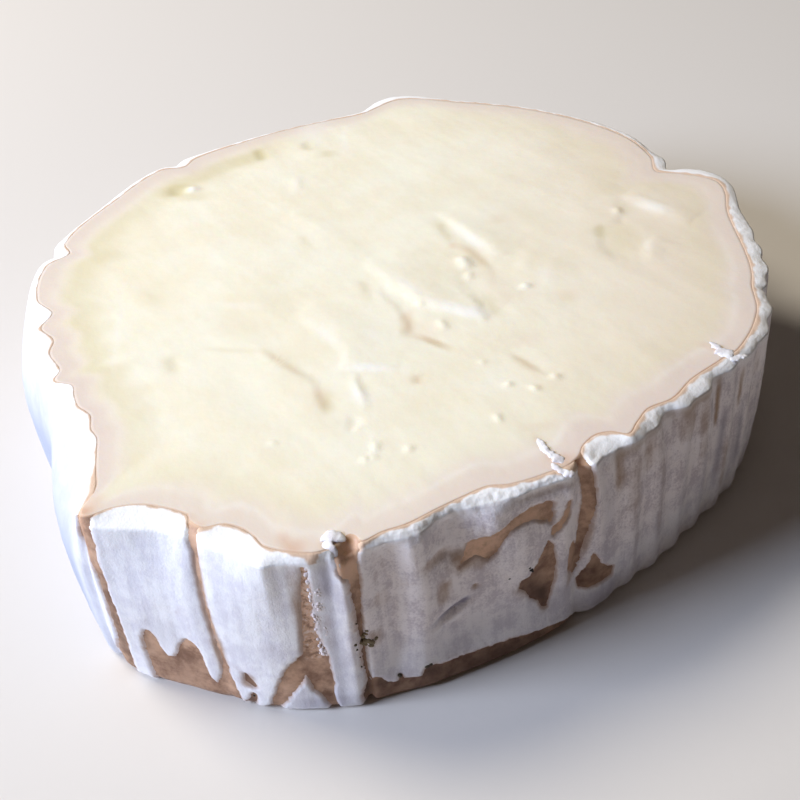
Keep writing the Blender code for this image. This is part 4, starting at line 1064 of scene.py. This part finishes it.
pasteLook = {
    "ivory": "#F9F3E0",
    "ivoryDeep": "#F4EBD3",
    # painted shade on the right of the cut face
    "paintedShadeRight": "#EADAC6",
    "rosy": "#E4D3C8",
    "olive": "#D9CDA4",
    # also painted highlights on the cut face
    "pale": "#FBF6EE",
    "tan": "#D9B193",
    "seam": "#D2AA8C",       # the thin brown line where rind and paste part
    "bareLight": "#C59F84",
    "bareDark": "#83604C",
    "fresh": "#E6BC9F",
    "riper": "#5A3F30",
    "crumbDark": "#7A5745",
    "crumbLight": "#D8C0B2",
    "marks": ["paintedShadeRight", "rosy", "olive", "pale", "tan", "fromRim", "seam", "sideWall", "fresh",
              "riper", "crumbly"],
    # widest marks in mm, detail, roughness and scale up the wall
    "noises": {
        "mottle": (9.0, 4, 0.6, 1),
        "grain": (0.9, 3, 0.55, 1),    # the curd's grain, drawn a little coarser
        "stain": (2.2, 5, 0.65, 1),
        "speck": (0.7, 3, 0.7, 1),
    },
    "sums": {},
    # of what, from, to, and the amounts there
    "steps": {
        "mottled": ("mottle", 0.30, 0.72, 0, 1),
        "atSeam": ("fromRim", 0.04, 0.30, 1, 0),
        "stained": ("stain", 0.32, 0.68, 0, 1),
        "freshBroken": ("stain", 0.30, 0.56, 0.5, 1),
        "darkSpecks": ("speck", 0.50, 0.64, 0, 0.75),
        "lightSpecks": ("speck", 0.46, 0.38, 0, 1),
    },
    "cutLayers": [("ivoryDeep", "mottled", 1), ("paintedShadeRight", "paintedShadeRight", 0.75),
                  ("rosy", "rosy", 1), ("olive", "olive", 0.9), ("pale", "pale", 0.9),
                  ("tan", "tan", 0.8), ("seam", "atSeam", "seam")],
    "skinLayers": [("bareLight", "stained", 1), ("fresh", "fresh", "freshBroken"),
                   ("riper", "riper", 1), ("crumbDark", "darkSpecks", "crumbly"),
                   ("crumbLight", "lightSpecks", "crumbly")],
    "roughness": (0.41, 0.56),
    "relief": (0.22, 0.10),  # strength, and depth in mm
    "shader": {"IOR": 1.45, "Specular_IOR_Level": 0.25, "Subsurface_Weight": 0.25,
               "Subsurface_Radius": (1.0, 0.7, 0.4), "Subsurface_Scale": 0.0012},
}


def softGoatPaste():
    # soft ripened paste, cut with a knife: ivory, slightly wet and a little translucent, rosier
    # under the rind; where the rind is gone its skin has dried to tan and brown
    look = pasteLook
    material, tree = newMaterial("soft_goat_paste")
    read = readSurface(tree, look)
    cut = layered(tree, look, read, look["ivory"], look["cutLayers"])
    dried = layered(tree, look, read, look["bareDark"], look["skinLayers"])
    colour = layered(tree, {"dried": dried}, read, cut, [("dried", "sideWall", 1)])
    smooth, rough = look["roughness"]
    roughness = addNode(tree, "ShaderNodeMapRange", Value=read["grain"], From_Min=0.3,
                        From_Max=0.7, To_Min=smooth, To_Max=rough)
    finishSurface(tree, look, colour, roughness, read["grain"])
    return material


rindLook = {
    "white": "#F8F6F9",
    "shade": "#E7E4EC",
    # beige: the rind's own warmer tone, and painted warm shade on the side away from the lamps
    "beige": "#F6EBEA",
    "beigeShade": "#CBBDC0",
    "wornAndShaded": "#A98B74",
    # painted blue shade for the bright left wall
    "paintedCoolShade": "#A0A8BE",
    # grey of thinner mould, also used as painted shade
    "grey": "#8D8594",
    "tornEdge": "#BC9F90",
    "bevelTan": "#D6B496",
    "bevelWhite": "#FAF8F8",
    "marks": ["beige", "paintedCoolShade", "greyedAndShaded", "wornAndShaded", "bare", "bevel", "bevelTan"],
    "noises": {
        "mottle": (3.0, 5, 0.65, 1),
        "streak": (1.0, 4, 0.6, 0.12),
        "fuzz": (0.28, 3, 0.6, 1),     # the mould's nap, drawn coarser than it is
    },
    "sums": {
        "streaks": ("streak", 0.35, 0),
        "tone": ("mottle", 0.65, "streaks"),
        "speckled": ("fuzz", 0.40, "tone"),
        "broken": ("tone", -1.3, 0.65),
        "wornAwayAndShaded": ("broken", 1, "wornAndShaded"),  # worn places break up a little along the streaks
        "towardsBare": ("mottle", 1.2, "bare"),
        "nap": ("streak", 0.8, "fuzz"),
    },
    "steps": {
        "light": ("tone", 0.38, 0.58, 0, 1),
        "beigeLight": ("speckled", 0.57, 0.79, 0, 1),
        "rubbedAndShaded": ("wornAwayAndShaded", 0.10, 1.0, 0, 0.95),
        "torn": ("towardsBare", 0.12, 0.66, 0, 0.85),
    },
    "beigeToneLayers": [("beige", "beigeLight", 1)],
    "layers": [("white", "light", 1), ("beigeTone", "beige", 1), ("paintedCoolShade", "paintedCoolShade", 1),
               ("grey", "greyedAndShaded", 1), ("wornAndShaded", "rubbedAndShaded", 1), ("tornEdge", "torn", 1),
               ("bevelWhite", "bevel", 1), ("bevelTan", "bevelTan", 0.9)],
    "roughness": 0.85,
    "relief": (0.5, 0.10),
    "shader": {"IOR": 1.4, "Subsurface_Weight": 0.10, "Subsurface_Radius": (1.0, 0.8, 0.7),
               "Subsurface_Scale": 0.0006, "Sheen_Weight": 0.12, "Sheen_Roughness": 0.5},
}


def bloomyRind():
    # white mould grown on the log: a dry velvet skin that scatters light, thin and tan where it was
    # rubbed, with fine upright streaks from the mat it ripened on; painted shade lies on it too:
    # blue on the bright left wall, grey in hollows and the slit, warm on the side away from the
    # lamps, tan under the lip
    look = rindLook
    material, tree = newMaterial("bloomy_rind")
    read = readSurface(tree, look)
    beigeTone = layered(tree, look, read, look["beigeShade"], look["beigeToneLayers"])
    colour = layered(tree, {**look, "beigeTone": beigeTone}, read, look["shade"], look["layers"])
    finishSurface(tree, look, colour, look["roughness"], read["nap"])
    return material


crumbLook = {
    "olive": "#86765A",
    "dark": "#1E1712",
    "marks": ["dark"],
    "noises": {"grain": (0.3, 2, 0.6, 1)},
    "sums": {},
    "steps": {},
    "layers": [("dark", "dark", 1)],
    "roughness": 0.75,
    "relief": (0.5, 0.08),
    "shader": {"IOR": 1.45},
}


def driedCrumb():
    # crumbs of mould and paste that dried olive to nearly black: matt and rough
    look = crumbLook
    material, tree = newMaterial("dried_crumb")
    read = readSurface(tree, look)
    colour = layered(tree, look, read, look["olive"], look["layers"])
    finishSurface(tree, look, colour, look["roughness"], read["grain"])
    return material


rind, paste = makeRind(), makePaste()
shreds, dried = makeShreds(), makeDriedCrumbs()
whiteRind = bloomyRind()
pieces = (
    (rind, "bloomy_rind", whiteRind), (shreds, "bloomy_rind", whiteRind),
    (paste, "goat_paste", softGoatPaste()), (dried, "bloomy_rind", driedCrumb()),
)
print("rind", len(rind.data.polygons), "faces, paste", len(paste.data.polygons), "faces")

# the axis of the log goes where the middle of the CAD box puts it
nodeLow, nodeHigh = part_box("cheese_log")
allPoints = np.array([vertex.co for vertex in rind.data.vertices])
shift = (nodeLow + nodeHigh) / 2.0 - Vector((allPoints.min(axis=0) + allPoints.max(axis=0)) / 2.0)
shift.z = nodeLow.z
print("axis at", [round(v * 1000, 2) for v in shift], "mm")
for piece, slot, material in pieces:
    piece.data.materials.append(material)
    piece.data.transform(Matrix.Translation(shift))
    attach(piece, "root")
    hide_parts("cheese_log")


paperLook = {
    "paper": "#DAD4CE",
    "marks": [],
    "noises": {"fibre": (1.11, 2, 0.5, 1)},
    "sums": {},
    "steps": {},
    "roughness": 0.9,
    "relief": (0.05, 0.2),
    "shader": {},
}


def makeFloor():
    # uncoated paper, pressed smooth: pale, even and matt
    bpy.ops.mesh.primitive_plane_add(size=6.0, location=(0.0, 0.0, cadLow.z))
    floor = bpy.context.object
    floor.name = "studio_floor"
    look = paperLook
    material, tree = newMaterial("matt_paper")
    read = readSurface(tree, look)
    finishSurface(tree, look, look["paper"], look["roughness"], read["fibre"])
    floor.data.materials.append(material)


studio = {
    "world": "#FFEBDC",
    "worldStrength": 0.055,
    "lampDistance": 0.80,    # m
    "lampSize": 0.35,        # m
    # azimuth as for the slice's angles, elevation, watts and colour
    "lamps": {
        "warm_window": (150.0, 50.0, 4.9, "#FFF7E5"),
        "cool_window": (-165.0, 30.0, 8.2, "#D7E5FF"),
    },
}


def softLight(name, azimuth, elevation, watts, colour):
    lamp = bpy.data.lights.new(name, "AREA")
    lamp.shape = "DISK"
    lamp.size = studio["lampSize"]
    lamp.energy = watts
    lamp.color = hexColour(colour)[:3]
    light = bpy.data.objects.new(name, lamp)
    a, e = math.radians(azimuth), math.radians(elevation)
    away = Vector((math.cos(a) * math.cos(e), math.sin(a) * math.cos(e), math.sin(e)))
    light.location = middle + away * studio["lampDistance"]
    light.rotation_euler = (-away).to_track_quat("-Z", "Y").to_euler()
    bpy.context.scene.collection.objects.link(light)


makeFloor()
middle = (cadLow + cadHigh) / 2.0
for name, lamp in studio["lamps"].items():
    softLight(name, *lamp)

world = bpy.data.worlds.new("studio")
world.use_nodes = True
background = world.node_tree.nodes["Background"]
background.inputs["Color"].default_value = hexColour(studio["world"])
background.inputs["Strength"].default_value = studio["worldStrength"]
bpy.context.scene.world = world
bpy.context.scene.view_settings.view_transform = "Standard"

cameraSetup = {
    "aim": (0.0, -13.9),     # mm in front of the middle of the box
    "distance": 163.2,       # mm
    "elevation": 39.5,
    "roll": -5.34,
    "lens": 57.75,
    "sensor": 36.0,
}


def makeCamera():
    e, r = math.radians(cameraSetup["elevation"]), math.radians(cameraSetup["roll"])
    ahead = Vector((0.0, math.cos(e), -math.sin(e)))
    level, above = Vector((1.0, 0.0, 0.0)), Vector((0.0, math.sin(e), math.cos(e)))
    right = level * math.cos(r) + above * math.sin(r)
    up = above * math.cos(r) - level * math.sin(r)
    lens = bpy.data.cameras.new("camera")
    lens.lens = cameraSetup["lens"]
    lens.sensor_width = cameraSetup["sensor"]
    camera = bpy.data.objects.new("camera", lens)
    aim = middle + Vector((*cameraSetup["aim"], 0.0)) * millimetre
    turned = Matrix((right, up, -ahead)).transposed().to_4x4()
    place = aim - ahead * cameraSetup["distance"] * millimetre
    camera.matrix_world = Matrix.Translation(place) @ turned
    bpy.context.scene.collection.objects.link(camera)
    bpy.context.scene.camera = camera


makeCamera()
print("floor, lamps and camera set")
